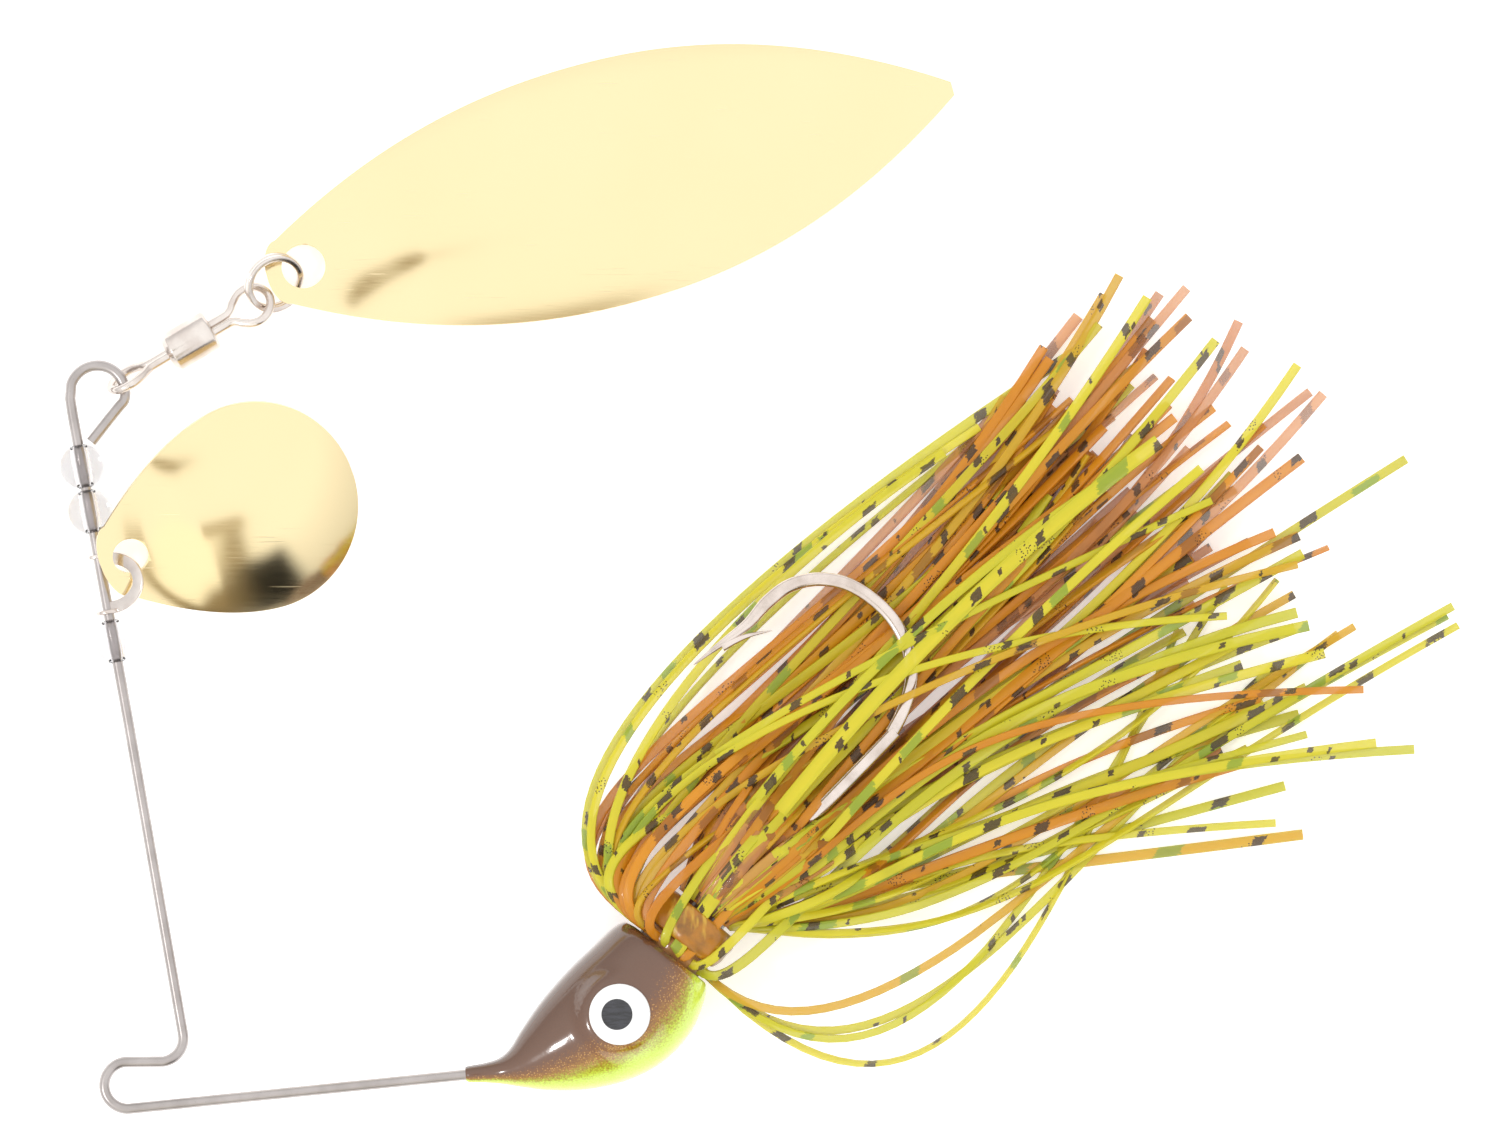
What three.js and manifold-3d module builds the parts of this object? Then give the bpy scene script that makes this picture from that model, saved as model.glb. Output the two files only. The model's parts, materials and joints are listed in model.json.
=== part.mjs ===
// A tandem spinnerbait, lying on its side on a table. Millimetres, +Z up.
// X and Y lie in the plane of the table. The lure is first laid out in the plane of its wire,
// with the line tie at the lower left, and that plane then leans a little towards the table,
// because the head is thicker than the swivel at the other end.
import * as THREE from 'three';
import { mergeVertices } from 'three/addons/utils/BufferGeometryUtils.js';
import Module from 'manifold-3d';

const wasm = await Module();
wasm.setup();

// ---------------------------------------------------------------- sizes

const WIRE = { radius: 0.5, sides: 10 };
const LEAN = { degrees: 2.5, towards: 129.6, pivot: [48.83, 8.99], height: 5.72 };

const ARM = { foot: [7.9, 7.48], towards: 100.42 };
const LINE_TIE = { lower: [2.62, 2.34], upper: [5.61, 6.73], bendRadius: 2.2 };
const LOOP = { centre: [-0.37, 67.1], radius: 2.6, tailEnd: [-0.95, 62.55] };

const HEAD = { post: { radius: 2.5, length: 6 }, pocketDepth: 0.75, towards: 50.9 };
const HOOK = { radius: 0.65, forged: 0.52, eye: [44.6, 5.0], eyeRadius: 1.35, eyeWire: 0.6 };
const EYE = { centre: [48.83, 8.99], radius: 2.85, pupil: 1.45, face: 5.6, shift: -0.25 };
const COLLAR = { start: [54.11, 15.75], length: 3.6, inner: 2.7, outer: 4.3 };

const BEAD = { radius: 2.1, bore: 0.65, at: { upper_1: 53.65, upper_2: 49.35, lower: 37.0 } };
const CLEVIS = { at: 42.4, ears: 2.65, thick: 0.36, ear: 1.15, roll: -33, reach: 3.9, half: 2.85 };

const SWIVEL = { from: [2.52, 68.5], to: [14.11, 75.3], toHeight: 2.55, wire: 0.42, eye: 1.85 };
const BARREL = { from: 4.33, length: 4.77, radius: 1.95, mouth: 1.02, bore: 1.5, wall: 0.7 };
const RING = { centre: [16.25, 77.4], height: 2.65, radius: 2.6, wide: 0.6, high: 0.48, lean: 35 };

const WILLOW = {
  hole: [18.97, 78.9], height: 2.3, towards: 15.4, pitch: 1.6, roll: -5, length: 66.7,
  toHole: 3.57, bore: 2.05, widest: 33, half: 11.5, root: 36.4, rootPower: 2.1,
  tip: 34.6, tipPower: 2.1, round: false, nose: 1.6, dome: 2.5, thick: 0.5,
};
const COLORADO = {
  hole: [2.8, 51.9], above: 1.6, towards: 21.6, pitch: 5.5, roll: 18, length: 25.2,
  toHole: 2.94, bore: 1.68, widest: 15.6, half: 10.15, root: 17.9, rootPower: 1.75,
  tip: 9.6, round: true, nose: 1.6, dome: 2.8, thick: 0.5,
};

const STRAND = { width: 0.9, thick: 0.45, steps: 15, outer: 18, inner: 18 };

// ---------------------------------------------------------------- materials

const material = (color, roughness, metalness) =>
  new THREE.MeshStandardMaterial({ color, roughness, metalness });

const stainless = () => material(0x9a9896, 0.35, 1);
const nickel = () => material(0xc9bdb2, 0.22, 1);
const gold = () => material(0xe8c46a, 0.18, 1);
const clear = () => material(0xf2f2f4, 0.08, 0);
const silicone = (color) => material(color, 0.45, 0);

// ---------------------------------------------------------------- solids

const degrees = THREE.MathUtils.degToRad;
const heading = (angle) => new THREE.Vector3(Math.cos(degrees(angle)), Math.sin(degrees(angle)), 0);
const flat = ([x, y], z = 0) => new THREE.Vector3(x, y, z);

function bare(geometry) {
  geometry.deleteAttribute('normal');
  geometry.deleteAttribute('uv');
  return mergeVertices(geometry, 1e-4);
}

function toSolid(geometry) {
  const merged = bare(geometry);
  const vertProperties = new Float32Array(merged.attributes.position.array);
  const triVerts = new Uint32Array(merged.index.array);
  return new wasm.Manifold(new wasm.Mesh({ numProp: 3, vertProperties, triVerts }));
}

function toGeometry(solid) {
  const mesh = solid.getMesh();
  const geometry = new THREE.BufferGeometry();
  geometry.setAttribute('position', new THREE.BufferAttribute(mesh.vertProperties, 3));
  geometry.setIndex(new THREE.BufferAttribute(mesh.triVerts, 1));
  geometry.computeVertexNormals();
  return geometry;
}

// A closed cylinder whose rings are moved one by one. place(angle, step, rim) gives each
// vertex its place: rim is 1 on the side and 0 at the middle of either end.
function loft(sides, steps, place) {
  const geometry = bare(new THREE.CylinderGeometry(1, 1, steps, sides, steps));
  const at = geometry.attributes.position;
  for (let i = 0; i < at.count; i += 1) {
    const x = at.getX(i);
    const z = at.getZ(i);
    const step = Math.round(at.getY(i) + steps / 2);
    const point = place(Math.atan2(x, z), step, Math.min(1, Math.round(Math.hypot(x, z))));
    at.setXYZ(i, point.x, point.y, point.z);
  }
  geometry.computeVertexNormals();
  return geometry;
}

// The direction along a row of points, and two directions across it that don't twist.
function framesAlong(points, up) {
  const frames = [];
  let across = up.clone();
  for (let i = 0; i < points.length; i += 1) {
    const before = points[Math.max(i - 1, 0)];
    const after = points[Math.min(i + 1, points.length - 1)];
    const along = after.clone().sub(before).normalize();
    across = across.clone().addScaledVector(along, -across.dot(along)).normalize();
    frames.push({ along, across, side: along.clone().cross(across) });
  }
  return frames;
}

// A bar through a row of points. size(step) gives its half height and half width.
function bar(points, size, sides = WIRE.sides) {
  const upright = Math.abs(points[1].z - points[0].z) > 1;
  const frames = framesAlong(points, upright ? heading(90) : new THREE.Vector3(0, 0, 1));
  return loft(sides, points.length - 1, (angle, step, rim) => {
    const [high, wide] = size(step);
    return points[step].clone()
      .addScaledVector(frames[step].across, high * rim * Math.cos(angle))
      .addScaledVector(frames[step].side, wide * rim * Math.sin(angle));
  });
}

const roundBar = (points, radius, sides) => bar(points, () => [radius, radius], sides);

function arc(centre, radius, from, to, steps) {
  return Array.from({ length: steps + 1 }, (_, i) =>
    flat(centre).addScaledVector(heading(from + ((to - from) * i) / steps), radius));
}

// A ring turned about Z from a closed outline of [radius, height] pairs.
function turned(outline, segments) {
  const profile = [...outline, outline[0]].map(([r, z]) => new THREE.Vector2(r, z));
  return new THREE.LatheGeometry(profile, segments).rotateX(Math.PI / 2);
}

const disc = (radius, thick, segments = 24) =>
  new THREE.CylinderGeometry(radius, radius, thick, segments).rotateX(Math.PI / 2);

// ---------------------------------------------------------------- scene graph

const lure = new THREE.Group();
const onTable = new THREE.Group();
lure.add(onTable);

const leaning = new THREE.Group();
const leanAxis = heading(LEAN.towards - 90);
const pivot = flat(LEAN.pivot);
leaning.quaternion.setFromAxisAngle(leanAxis, degrees(-LEAN.degrees));
leaning.position.copy(pivot).applyQuaternion(leaning.quaternion).negate().add(pivot);
leaning.position.z += LEAN.height;
leaning.updateMatrix();
lure.add(leaning);

const fromWire = (xy, z = 0) => flat(xy, z).applyMatrix4(leaning.matrix);

function add(name, geometry, look, parent = leaning) {
  const mesh = new THREE.Mesh(geometry, look);
  mesh.name = name;
  parent.add(mesh);
  return mesh;
}

// ---------------------------------------------------------------- wire form

const armAlong = heading(ARM.towards);
const onArm = (s) => flat(ARM.foot).addScaledVector(armAlong, s);

function wirePoints(top) {
  const nose = [34.64, 3.38];
  return [
    flat(HOOK.eye, top),
    flat(HOOK.eye, -0.6),
    flat([44.15, 4.9], -1.2),
    flat([43.2, 4.65], -1.38),
    flat([42.2, 4.35], -1.3),
    flat([41.0, 4.1], -0.7),
    flat([39.8, 3.92]),
    flat(nose),
    ...arc(LINE_TIE.lower, LINE_TIE.bendRadius, 280, 98, 10),
    ...arc(LINE_TIE.upper, LINE_TIE.bendRadius, 278, 370.4, 6),
    onArm(30),
    onArm(55.5),
    flat([-2.93, 66.6]),
    ...arc(LOOP.centre, LOOP.radius, 166, -14, 10),
    flat([1.5, 65.65]),
    flat(LOOP.tailEnd),
  ];
}

add('wire_form', roundBar(wirePoints(0.95), WIRE.radius), stainless());

// ---------------------------------------------------------------- hook

const HOOK_BEND = [
  [55.47, 41.6], [57.0, 42.8], [58.7, 44.05], [60.6, 45.5], [62.4, 47.5], [64.5, 49.05],
  [67.1, 49.65], [69.7, 49.25], [72.1, 47.9], [74.2, 45.8], [75.55, 43.1], [75.85, 40.4],
  [75.2, 37.7], [74.0, 35.3], [72.8, 33.8],
];
const hookShank = [flat([72.8, 33.8]), flat([56.5, 17.15]), flat([45.75, 6.18])];

function hookSize(step) {
  const taper = Math.min(1, 0.1 + step / 4);
  const forged = step < 13 ? HOOK.forged : HOOK.radius;
  return [forged * taper, HOOK.radius * taper];
}

function hookEye(tube) {
  return new THREE.TorusGeometry(HOOK.eyeRadius, tube, 8, 16).translate(...HOOK.eye, 0);
}

function makeHook() {
  const body = bar([...HOOK_BEND.map((p) => flat(p)), ...hookShank.slice(1)], hookSize, 8);
  const barb = bar([flat([58.4, 43.4]), flat([60.6, 44.5]), flat([62.7, 45.0])],
    (step) => [0.3 - 0.12 * step, 0.55 - 0.24 * step], 6);
  const whole = toSolid(body).add(toSolid(barb)).add(toSolid(hookEye(HOOK.eyeWire)));
  return toGeometry(whole);
}

add('hook', makeHook(), nickel());

// ---------------------------------------------------------------- head

// Each row: a point on the back, the point across from it on the belly, half the width.
const HEAD_SECTIONS = [
  [[34.6, 4.12], [34.7, 2.62], 0.75],
  [[36.1, 4.4], [36.1, 2.6], 0.95],
  [[37.38, 4.85], [37.85, 2.45], 1.3],
  [[38.41, 5.79], [39.72, 2.15], 1.9],
  [[39.44, 7.48], [42.24, 1.87], 2.7],
  [[41.31, 10.19], [45.61, 1.96], 3.8],
  [[43.74, 12.99], [49.35, 2.8], 4.75],
  [[46.17, 15.33], [52.62, 4.49], 5.2],
  [[47.85, 16.92], [55.14, 7.1], 5.3],
  [[48.97, 17.57], [56.45, 9.91], 4.9],
  [[49.72, 17.38], [56.73, 11.68], 4.1],
];
const rearFace = flat([53.22, 14.53]);
const postAlong = heading(HEAD.towards);

function headShell() {
  return loft(20, HEAD_SECTIONS.length - 1, (angle, step, rim) => {
    const [back, belly, half] = HEAD_SECTIONS[step];
    const middle = flat(back).lerp(flat(belly), 0.5);
    const spoke = flat(back).sub(middle).multiplyScalar(rim * Math.cos(angle));
    const sideways = new THREE.Vector3(0, 0, rim * half * Math.sin(angle));
    return middle.add(spoke).add(sideways);
  });
}

function makeHead() {
  const postEnd = rearFace.clone().addScaledVector(postAlong, HEAD.post.length);
  const postRoot = rearFace.clone().addScaledVector(postAlong, -2);
  const post = roundBar([postRoot, postEnd], HEAD.post.radius, 20);
  const wireTunnel = roundBar(wirePoints(1.15).slice(0, 9), WIRE.radius + 0.12);
  const shankTunnel = roundBar([hookShank[0], flat([45.3, 5.72])], HOOK.radius + 0.2);
  const pocket = () => disc(EYE.radius + 0.15, 4, 28);
  const pocketHeight = EYE.face - HEAD.pocketDepth + 2;
  const inside = toSolid(wireTunnel)
    .add(toSolid(shankTunnel))
    .add(toSolid(hookEye(HOOK.eyeWire + 0.2)))
    .add(toSolid(pocket().translate(...EYE.centre, pocketHeight)))
    .add(toSolid(pocket().translate(...EYE.centre, -pocketHeight)));
  return toGeometry(toSolid(headShell()).add(toSolid(post)).subtract(inside));
}

add('head', makeHead(), material(0x785a4b, 0.2, 0));

// ---------------------------------------------------------------- painted eyes

function makeEyes(side, up) {
  const thick = HEAD.pocketDepth - 0.1;
  const recess = 0.3;
  const white = toSolid(disc(EYE.radius, thick, 28).translate(0, 0, -thick / 2));
  const seat = toSolid(disc(EYE.pupil + 0.05, 2 * recess, 20).translate(EYE.shift, 0, 0));
  const pupil = disc(EYE.pupil, recess - 0.05, 20).translate(EYE.shift, 0, -(recess - 0.05) / 2);
  const whiteMesh = add(`eye_white_${side}`, toGeometry(white.subtract(seat)),
    material(0xf4f4f2, 0.3, 0));
  const pupilMesh = add(`eye_pupil_${side}`, pupil, material(0x23242a, 0.25, 0));
  [whiteMesh, pupilMesh].forEach((mesh) => {
    mesh.position.set(...EYE.centre, up * EYE.face);
    mesh.rotation.y = up > 0 ? 0 : Math.PI;
  });
}

makeEyes('top', 1);
makeEyes('under', -1);

// ---------------------------------------------------------------- skirt collar

const collarOutline = [
  [COLLAR.inner, 0.3], [COLLAR.outer - 0.5, 0], [COLLAR.outer, 0.6],
  [COLLAR.outer, COLLAR.length - 0.6], [COLLAR.outer - 0.5, COLLAR.length],
  [COLLAR.inner, COLLAR.length - 0.3],
];
const collar = add('skirt_collar', turned(collarOutline, 22), silicone(0x9a6a2c));
collar.position.copy(flat(COLLAR.start));
collar.quaternion.setFromUnitVectors(new THREE.Vector3(0, 0, 1), postAlong);

// ---------------------------------------------------------------- beads on the upper arm

function beadOutline() {
  const edge = Math.asin(BEAD.bore / BEAD.radius);
  const rim = Array.from({ length: 9 }, (_, i) => edge + ((Math.PI - 2 * edge) * i) / 8);
  return rim.map((a) => [BEAD.radius * Math.sin(a), BEAD.radius * -Math.cos(a)]);
}

for (const [place, s] of Object.entries(BEAD.at)) {
  const bead = add(`bead_${place}`, turned(beadOutline(), 16), clear());
  bead.position.copy(onArm(s));
  bead.quaternion.setFromUnitVectors(new THREE.Vector3(0, 0, 1), armAlong);
}

// ---------------------------------------------------------------- clevis

// Stamped from strip: a flat C between two ears that are bent over and bored for the wire.
// Local Y is the wire, X points away from it, Z is the thickness of the strip.
function makeClevis() {
  const band = 1.15;
  const start = 0.8;
  const c = new THREE.Shape();
  c.moveTo(start - 0.1, -CLEVIS.half);
  c.lineTo(start, -CLEVIS.half);
  c.absellipse(start, 0, CLEVIS.reach, CLEVIS.half, -Math.PI / 2, Math.PI / 2, false);
  c.lineTo(start - 0.1, CLEVIS.half);
  c.lineTo(start - 0.1, CLEVIS.half - band);
  c.absellipse(start, 0, CLEVIS.reach - band, CLEVIS.half - band, Math.PI / 2, -Math.PI / 2, true);
  c.lineTo(start - 0.1, -CLEVIS.half + band);
  const plate = new THREE.ExtrudeGeometry(c, {
    depth: CLEVIS.thick, bevelEnabled: false, curveSegments: 12,
  }).translate(0, 0, -CLEVIS.thick / 2);
  let whole = toSolid(plate);
  [-1, 1].forEach((end) => {
    const ear = new THREE.CylinderGeometry(CLEVIS.ear, CLEVIS.ear, CLEVIS.thick, 20);
    whole = whole.add(toSolid(ear.translate(0, end * CLEVIS.ears, 0)));
  });
  const bore = new THREE.CylinderGeometry(0.65, 0.65, 8, 16);
  return toGeometry(whole.subtract(toSolid(bore)));
}

const clevis = add('clevis', makeClevis(), nickel());
clevis.position.copy(onArm(CLEVIS.at));
clevis.rotation.set(0, degrees(CLEVIS.roll), degrees(ARM.towards - 90), 'ZYX');

// ---------------------------------------------------------------- blades

// Half the width of a blade at a distance x from its rounded end.
function halfWidth(blade, x) {
  const part = Math.abs(x - blade.widest);
  if (x > blade.widest) {
    const t = Math.min(1, part / blade.tip);
    return blade.half * (blade.round ? Math.sqrt(1 - t * t) : 1 - t ** blade.tipPower);
  }
  const width = blade.half * (1 - (part / blade.root) ** blade.rootPower);
  if (x >= blade.nose) return width;
  const atNose = blade.half * (1 - ((blade.widest - blade.nose) / blade.root) ** blade.rootPower);
  return atNose * Math.sqrt(1 - (1 - x / blade.nose) ** 2);
}

// The height of the domed sheet, which stays flat around the hole.
function domeAt(blade, x, y) {
  const half = halfWidth(blade, x);
  const rise = THREE.MathUtils.smoothstep(x, 1, 0.4 * blade.length);
  return (blade.dome * rise * Math.max(0, half * half - y * y)) / blade.half ** 2;
}

function makeBlade(blade, steps, across) {
  const first = 0.1;
  const last = blade.length - (blade.round ? 0.12 : 0.05);
  const sheet = loft(2 * (across + 1), steps, (angle, step, rim) => {
    const turn = (angle / (2 * Math.PI) + 1 + 0.25 / (across + 1)) % 1;
    const index = Math.floor(turn * 2 * (across + 1));
    const top = index <= across;
    const share = top ? index / across : 1 - (index - across - 1) / across;
    const x = first + ((last - first) * (1 - Math.cos((Math.PI * step) / steps))) / 2;
    const y = rim * halfWidth(blade, x) * (1 - 2 * share);
    const z = domeAt(blade, x, y) + (rim * (top ? 1 : -1) * blade.thick) / 2;
    return new THREE.Vector3(x - blade.toHole, y, z);
  });
  const bore = new THREE.CylinderGeometry(blade.bore, blade.bore, 6, 24).rotateX(Math.PI / 2);
  return toGeometry(toSolid(sheet).subtract(toSolid(bore)));
}

function placeBlade(name, blade, at, steps, across) {
  const mesh = add(name, makeBlade(blade, steps, across), gold(), onTable);
  mesh.position.copy(at);
  mesh.rotation.set(degrees(blade.roll), degrees(blade.pitch), degrees(blade.towards), 'ZYX');
}

const coloradoHole = fromWire(COLORADO.hole);
coloradoHole.z += COLORADO.above;
placeBlade('small_blade', COLORADO, coloradoHole, 14, 8);
placeBlade('large_blade', WILLOW, flat(WILLOW.hole, WILLOW.height), 22, 8);

// ---------------------------------------------------------------- swivel

const swivel = new THREE.Group();
const swivelFrom = fromWire(SWIVEL.from);
const swivelTo = flat(SWIVEL.to, SWIVEL.toHeight);
const swivelAlong = swivelTo.clone().sub(swivelFrom).normalize();
swivel.position.copy(swivelFrom);
swivel.quaternion.setFromUnitVectors(new THREE.Vector3(1, 0, 0), swivelAlong);
onTable.add(swivel);

// One wire bent into an eye, with both legs and an upset head held inside the barrel.
// The eye is at the origin and the legs run along +X.
function makeSwivelEye() {
  const legs = SWIVEL.wire + 0.03;
  const end = BARREL.from + BARREL.wall + 0.6;
  const bend = arc([0, 0], SWIVEL.eye, 48, 312, 14);
  const leg = (side) => [flat([end, side * legs]), flat([2.55, side * legs]), flat([2.0, side * 0.68])];
  const wire = roundBar([...leg(1), ...bend, ...leg(-1).reverse()], SWIVEL.wire, 8);
  const head = new THREE.CylinderGeometry(1.3, 1.3, 0.6, 14).rotateZ(Math.PI / 2);
  return toGeometry(toSolid(wire).add(toSolid(head.translate(end - 0.25, 0, 0))));
}

const lowerEye = add('swivel_eye_lower', makeSwivelEye(), nickel(), swivel);
lowerEye.rotation.x = degrees(-68);
const upperEye = add('swivel_eye_upper', makeSwivelEye(), nickel(), swivel);
upperEye.position.x = swivelTo.distanceTo(swivelFrom);
upperEye.rotation.set(degrees(-24), 0, Math.PI, 'XYZ');

const barrelOutline = [
  [BARREL.mouth, 0], [BARREL.radius - 0.55, 0], [BARREL.radius, 0.55],
  [BARREL.radius, BARREL.length - 0.2], [BARREL.radius - 0.2, BARREL.length],
  [BARREL.mouth, BARREL.length], [BARREL.mouth, BARREL.length - BARREL.wall],
  [BARREL.bore, BARREL.length - BARREL.wall], [BARREL.bore, BARREL.wall],
  [BARREL.mouth, BARREL.wall],
];
const barrel = add('swivel_barrel', turned(barrelOutline, 18), nickel(), swivel);
barrel.position.x = BARREL.from;
barrel.rotation.y = Math.PI / 2;

// ---------------------------------------------------------------- split ring

// Two flat turns of wire. The first steps up to the second over a sixth of a turn.
function makeSplitRing() {
  const first = 30;
  const last = 690;
  const steps = 44;
  const pitch = RING.high + 0.04;
  const points = Array.from({ length: steps + 1 }, (_, i) => {
    const angle = first + ((last - first) * i) / steps;
    const height = pitch * (THREE.MathUtils.smoothstep(angle, 330, 390) - 0.5);
    return heading(angle).multiplyScalar(RING.radius).setZ(height);
  });
  const corner = Math.SQRT2 / 2;
  return loft(4, steps, (angle, step, rim) => {
    const out = points[step].clone().setZ(0).normalize();
    const turn = angle + Math.PI / 4;
    return points[step].clone()
      .addScaledVector(out, (rim * Math.cos(turn) * RING.wide) / 2 / corner)
      .add(new THREE.Vector3(0, 0, (-rim * Math.sin(turn) * RING.high) / 2 / corner));
  });
}

const ring = add('split_ring', makeSplitRing(), nickel(), onTable);
ring.position.copy(flat(RING.centre, RING.height));
ring.quaternion.setFromAxisAngle(heading(45), degrees(RING.lean));

// ---------------------------------------------------------------- skirt

// The strands are held at their middle. One half of each leaves the collar at the rear, and
// the other leaves it at the front and folds back outside. Each row below is a station of
// one of these two sheaves: distance along the post from the front of the collar, then how
// far the sheaf reaches to the left, right, up and down.
const OUTER_SHEAF = [
  [-0.75, 3.4, 3.4, 3.4, 3.4],
  [-0.75, 7.0, 8.5, 5.8, 4.9],
  [1.2, 12.6, 15.0, 7.6, 5.1],
  [9.0, 16.6, 19.5, 8.8, 5.1],
  [20.0, 17.0, 23.5, 8.8, 5.1],
  [36.0, 13.5, 28.0, 8.2, 5.1],
  [52.0, 9.0, 33.0, 7.4, 5.1],
  [67.0, 7.5, 38.0, 6.6, 5.1],
];
const INNER_SHEAF = [
  [4.1, 3.5, 3.5, 3.5, 3.5],
  [12.0, 5.6, 6.4, 4.5, 3.6],
  [26.0, 8.0, 11.0, 5.4, 3.8],
  [42.0, 6.8, 17.5, 5.6, 3.9],
  [58.0, 5.2, 24.0, 5.2, 4.0],
  [74.0, 4.2, 30.0, 4.6, 4.0],
];
const collarCentre = fromWire(COLLAR.start);
const left = heading(HEAD.towards + 90);

function sheafPoint(sheaf, turn, t, length) {
  const rows = sheaf.map((row) => new THREE.Vector3(row[0], 0, 0));
  const last = rows.length - 1;
  const at = Math.min(t * last, last - 1e-6);
  const i = Math.floor(at);
  const blend = (k) => {
    const [a, b] = [sheaf[Math.max(i - 1, 0)][k], sheaf[i][k]];
    const [c, d] = [sheaf[i + 1][k], sheaf[Math.min(i + 2, last)][k]];
    const s = at - i;
    return 0.5 * (2 * b + (c - a) * s + (2 * a - 5 * b + 4 * c - d) * s * s
      + (3 * b - a - 3 * c + d) * s * s * s);
  };
  const along = blend(0);
  const reach = Math.cos(turn) > 0 ? blend(1) : blend(2);
  const rise = Math.sin(turn) > 0 ? blend(3) : blend(4);
  return collarCentre.clone()
    .addScaledVector(postAlong, along > 12 ? 12 + (along - 12) * length : along)
    .addScaledVector(left, reach * Math.cos(turn))
    .add(new THREE.Vector3(0, 0, rise * Math.sin(turn)));
}

function makeStrand(sheaf, turn, length) {
  const step = 0.01;
  return loft(4, STRAND.steps, (angle, i, rim) => {
    const t = (i / STRAND.steps) ** 1.15;
    const here = sheafPoint(sheaf, turn, t, length);
    const across = sheafPoint(sheaf, turn + step, t, length)
      .sub(sheafPoint(sheaf, turn - step, t, length)).normalize();
    const along = sheafPoint(sheaf, turn, Math.min(t + step, 1), length)
      .sub(sheafPoint(sheaf, turn, Math.max(t - step, 0), length)).normalize();
    const out = along.clone().cross(across).normalize();
    const corner = angle + Math.PI / 4;
    return here
      .addScaledVector(across, (rim * STRAND.width * Math.cos(corner)) / Math.SQRT2)
      .addScaledVector(out, (rim * STRAND.thick * Math.sin(corner)) / Math.SQRT2);
  });
}

const STRAND_COLOURS = [0xb9c93a, 0xa8752f, 0xc9952f, 0x8a5a34];

function addSheaf(name, sheaf, count, from, to, lengthAt) {
  for (let i = 0; i < count; i += 1) {
    const turn = degrees(from + ((to - from) * (i + 0.5)) / count);
    const strand = makeStrand(sheaf, turn, lengthAt(turn, i));
    const colour = STRAND_COLOURS[(name === 'outer' ? 0 : 1) + (i % 3 === 0 ? 1 : 0)];
    add(`strand_${name}_${String(i + 1).padStart(2, '0')}`, strand, silicone(colour), onTable);
  }
}

addSheaf('outer', OUTER_SHEAF, STRAND.outer, 0, 360,
  (turn, i) => 0.9 + 0.12 * Math.cos(turn) + 0.04 * Math.sin(7 * i));
addSheaf('inner', INNER_SHEAF, STRAND.inner, 32, 328,
  (turn, i) => 0.97 + 0.04 * Math.sin(5 * i + 1));

// ---------------------------------------------------------------- origin

// The origin is on the table, under the middle of the lure.
lure.updateMatrixWorld(true);
const box = new THREE.Box3().setFromObject(lure, true);
const middle = box.getCenter(new THREE.Vector3());
lure.position.set(-middle.x, -middle.y, -box.min.z);

export default lure;
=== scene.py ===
import json
import math
import random

import bmesh
import bpy
from mathutils import Matrix, Vector
from mathutils.noise import noise

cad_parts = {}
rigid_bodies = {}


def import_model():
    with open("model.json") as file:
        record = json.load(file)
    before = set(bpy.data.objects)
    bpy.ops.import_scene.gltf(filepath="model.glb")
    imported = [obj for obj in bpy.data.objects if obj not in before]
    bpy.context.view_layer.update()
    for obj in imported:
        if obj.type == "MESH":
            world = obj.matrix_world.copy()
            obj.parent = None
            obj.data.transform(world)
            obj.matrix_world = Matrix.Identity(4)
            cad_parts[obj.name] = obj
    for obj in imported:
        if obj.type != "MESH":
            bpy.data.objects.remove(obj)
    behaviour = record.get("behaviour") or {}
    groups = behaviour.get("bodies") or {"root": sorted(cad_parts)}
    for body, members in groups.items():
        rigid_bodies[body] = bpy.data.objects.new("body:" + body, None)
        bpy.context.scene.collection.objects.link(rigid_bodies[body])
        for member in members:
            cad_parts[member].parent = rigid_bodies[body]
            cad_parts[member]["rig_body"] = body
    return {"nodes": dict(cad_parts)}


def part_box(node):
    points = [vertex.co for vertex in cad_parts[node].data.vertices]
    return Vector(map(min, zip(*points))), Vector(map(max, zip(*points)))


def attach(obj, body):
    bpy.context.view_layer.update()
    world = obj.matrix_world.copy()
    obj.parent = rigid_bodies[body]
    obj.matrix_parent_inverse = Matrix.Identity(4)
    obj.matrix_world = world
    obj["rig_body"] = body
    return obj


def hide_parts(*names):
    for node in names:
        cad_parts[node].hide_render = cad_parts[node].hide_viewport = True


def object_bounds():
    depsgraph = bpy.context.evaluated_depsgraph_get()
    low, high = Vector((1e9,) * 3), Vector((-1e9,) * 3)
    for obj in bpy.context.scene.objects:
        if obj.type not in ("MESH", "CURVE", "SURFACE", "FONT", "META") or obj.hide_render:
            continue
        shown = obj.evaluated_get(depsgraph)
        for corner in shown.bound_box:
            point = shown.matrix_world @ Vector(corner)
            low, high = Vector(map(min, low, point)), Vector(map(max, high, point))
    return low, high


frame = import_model()
cad_low, cad_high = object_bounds()

# ---------------------------------------------------------------- sizes, in millimetres

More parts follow.
